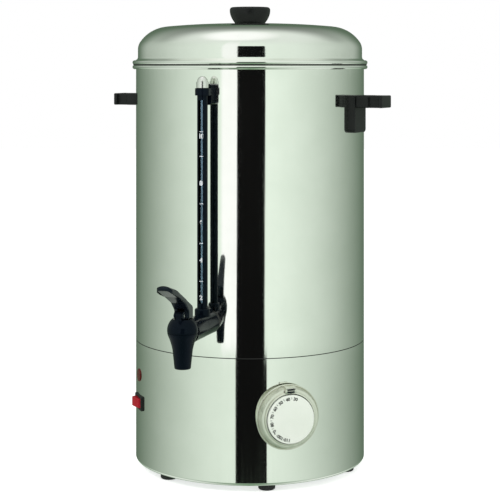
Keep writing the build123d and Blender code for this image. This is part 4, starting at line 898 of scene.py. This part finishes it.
def makeRoom():
    world = bpy.data.worlds.new("studio")
    scene.world = world
    world.use_nodes = True
    nodes, links = world.node_tree.nodes, world.node_tree.links
    nodes.clear()
    calc = calcWith(nodes, links)

    def blendBy(factor, first, second):
        node = nodes.new("ShaderNodeMix")
        node.data_type = "RGBA"
        links.new(factor, node.inputs["Factor"])
        for socket, value in ((node.inputs[6], first), (node.inputs[7], second)):
            if isinstance(value, tuple):
                socket.default_value = value
            else:
                links.new(value, socket)
        return node.outputs[2]

    def stepFrom(value, low, high):
        node = nodes.new("ShaderNodeMapRange")
        node.interpolation_type = "SMOOTHSTEP"
        node.inputs["From Min"].default_value = low
        node.inputs["From Max"].default_value = high
        links.new(value, node.inputs["Value"])
        return node.outputs["Result"]

    coords = nodes.new("ShaderNodeTexCoord")
    split = nodes.new("ShaderNodeSeparateXYZ")
    links.new(coords.outputs["Generated"], split.inputs["Vector"])
    side, depth, rise = split.outputs["X"], split.outputs["Y"], split.outputs["Z"]
    bearing = calc("ARCTAN2", side, calc("MULTIPLY", depth, -1.0))
    elevation = calc("ARCSINE", rise)
    skirtEdge = roomShape["skirtFrom"]
    aboveSkirt = stepFrom(elevation, radians(skirtEdge), radians(skirtEdge + roomShape["skirtRamp"]))

    def toneOf(name):
        return (*roomShape[name], 1)

    # the walls are lit from the front, a little less low down, where the skirt looks
    facing = calc("MULTIPLY", calc("ADD", calc("COSINE", bearing), 1.0), 0.5)
    lowShare = roomShape["lowShare"]
    share = calc("ADD", calc("MULTIPLY", aboveSkirt, 1.0 - lowShare), lowShare)
    tones = blendBy(calc("MULTIPLY", facing, share), toneOf("dimTone"), toneOf("litTone"))
    away = calc("ABSOLUTE", calc("SUBTRACT", bearing, radians(roomShape["whiteMiddle"])))
    inWhite = stepFrom(away, *(radians(angle) for angle in roomShape["whiteEdge"]))
    tones = blendBy(calc("MULTIPLY", inWhite, aboveSkirt), tones, toneOf("whiteTone"))
    # a dark card straight ahead, wider for the skirt, leaning a little to the right upwards
    lean = nodes.new("ShaderNodeMapRange")
    for name, value in (("From Min", skirtEdge), ("From Max", roomShape["leanTop"])):
        lean.inputs[name].default_value = radians(value)
    for name, value in zip(("To Min", "To Max"), roomShape["cardLean"]):
        lean.inputs[name].default_value = radians(value)
    links.new(elevation, lean.inputs["Value"])
    widening = radians(roomShape["cardLow"] - roomShape["cardHalfAngle"])
    wider = calc("MULTIPLY", calc("LESS_THAN", elevation, radians(skirtEdge)), widening)
    halfCard = calc("ADD", wider, radians(roomShape["cardHalfAngle"]))
    middle = calc("ADD", lean.outputs["Result"], calc("MULTIPLY", wider, 0.5))
    inCard = calc("LESS_THAN", calc("ABSOLUTE", calc("SUBTRACT", bearing, middle)), halfCard)
    underTop = calc("LESS_THAN", elevation, radians(roomShape["cardTop"]))
    card = calc("MULTIPLY", inCard, underTop)
    # the ceiling is lit to a little past overhead and dark behind
    over = calc("ARCTAN2", rise, calc("MULTIPLY", depth, -1.0))
    behind = stepFrom(over, *(radians(angle) for angle in roomShape["behindEdge"]))
    ceiling = blendBy(behind, toneOf("overTone"), toneOf("behindTone"))
    aim = Vector(roomShape["boxDirection"]).normalized()
    toward = calc("ADD", calc("MULTIPLY", side, aim.x), calc("MULTIPLY", depth, aim.y))
    toward = calc("ADD", toward, calc("MULTIPLY", rise, aim.z))
    softbox = stepFrom(toward, *roomShape["boxEdge"])
    ceiling = blendBy(softbox, ceiling, toneOf("boxTone"))
    upward = stepFrom(elevation, *(radians(angle) for angle in roomShape["crownRise"]))
    # the lid's wall is lit a little more than the tank, but for the edges that see behind it
    lidEdge = radians(roomShape["lidEdge"])
    onLid = calc("MULTIPLY", stepFrom(elevation, -lidEdge, lidEdge), roomShape["lidShare"])
    onLid = calc("MULTIPLY", onLid, stepFrom(depth, *roomShape["lidDepth"]))
    walls = blendBy(upward, blendBy(onLid, tones, toneOf("overTone")), ceiling)
    seen = blendBy(card, walls, toneOf("cardTone"))
    floorEdge = roomShape["floorFrom"]
    aboveFloor = stepFrom(elevation, radians(floorEdge - roomShape["floorRamp"]), radians(floorEdge))
    groundEdge = roomShape["groundFrom"]
    aboveGround = stepFrom(elevation, radians(groundEdge - roomShape["groundRamp"]), radians(groundEdge))
    sideways = calc("SINE", bearing)
    ground = blendBy(calc("MULTIPLY", sideways, sideways), toneOf("groundTone"), toneOf("groundSideTone"))
    seen = blendBy(aboveFloor, blendBy(aboveGround, ground, toneOf("floorTone")), seen)

    path = nodes.new("ShaderNodeLightPath")
    shown = calc("MAXIMUM", path.outputs["Is Camera Ray"], path.outputs["Is Transmission Ray"])
    plain = nodes.new("ShaderNodeBackground")
    plain.inputs["Color"].default_value = (*roomShape["plainTone"], 1)
    plain.inputs["Strength"].default_value = roomShape["plainLevel"]
    reflected = nodes.new("ShaderNodeBackground")
    links.new(seen, reflected.inputs["Color"])
    backdrop = nodes.new("ShaderNodeBackground")
    backdrop.inputs["Color"].default_value = (1, 1, 1, 1)
    firstMix = nodes.new("ShaderNodeMixShader")
    links.new(path.outputs["Is Glossy Ray"], firstMix.inputs["Fac"])
    links.new(plain.outputs["Background"], firstMix.inputs[1])
    links.new(reflected.outputs["Background"], firstMix.inputs[2])
    lastMix = nodes.new("ShaderNodeMixShader")
    links.new(shown, lastMix.inputs["Fac"])
    links.new(firstMix.outputs["Shader"], lastMix.inputs[1])
    links.new(backdrop.outputs["Background"], lastMix.inputs[2])
    output = nodes.new("ShaderNodeOutputWorld")
    links.new(lastMix.outputs["Shader"], output.inputs["Surface"])


floorShape = {"size": 9, "middle": (0, 1.5, 0), "tone": (0.86, 0.86, 0.86), "rough": 0.9, "glow": 0.6}


def makeFloor():
    clearSelection()
    bpy.ops.mesh.primitive_plane_add(size=floorShape["size"], location=floorShape["middle"])
    floor = bpy.context.object
    floor.name = "floor"
    settle(floor)
    finish = bpy.data.materials.new("paleFloor")
    finish.use_nodes = True
    nodes, links = finish.node_tree.nodes, finish.node_tree.links
    shader = nodes["Principled BSDF"]
    shader.inputs["Base Color"].default_value = (*floorShape["tone"], 1)
    shader.inputs["Roughness"].default_value = floorShape["rough"]
    shader.inputs["Specular IOR Level"].default_value = 0.0
    shader.inputs["Emission Color"].default_value = (1, 1, 1, 1)
    path = nodes.new("ShaderNodeLightPath")
    glow = nodes.new("ShaderNodeMath")
    glow.operation = "MULTIPLY"
    glow.inputs[1].default_value = floorShape["glow"]
    links.new(path.outputs["Is Camera Ray"], glow.inputs[0])
    links.new(glow.outputs["Value"], shader.inputs["Emission Strength"])
    floor.data.materials.append(finish)
    floor.visible_glossy = False


lampShape = {
    "key": {"location": (-1.5, -1.7, 2.1), "size": 1.5, "power": 26},
    "fill": {"location": (1.9, -1.3, 1.2), "size": 1.2, "power": 9},
}


def makeLamps():
    for name, lamp in lampShape.items():
        clearSelection()
        bpy.ops.object.light_add(type="AREA", location=lamp["location"])
        light = bpy.context.object
        light.name = name
        light.data.shape = "DISK"
        light.data.size = lamp["size"]
        light.data.energy = lamp["power"]
        aim = Vector((0, 0, 0.25)) - Vector(lamp["location"])
        light.rotation_euler = aim.to_track_quat("-Z", "Y").to_euler()
        light.visible_glossy = False


cameraShape = {"distance": 1.664, "height": 0.4474, "lens": 106.35, "shift": -0.3735}


def makeCamera():
    clearSelection()
    bpy.ops.object.camera_add(location=(0, -cameraShape["distance"], cameraShape["height"]))
    camera = bpy.context.object
    camera.rotation_euler = (radians(90), 0, 0)
    camera.data.sensor_width = 36
    camera.data.lens = cameraShape["lens"]
    camera.data.shift_y = cameraShape["shift"]
    scene.camera = camera


makeRoom()
makeFloor()
makeLamps()
makeCamera()
scene.view_settings.view_transform = "Standard"
print("room, lamps and camera set")

clearSelection()
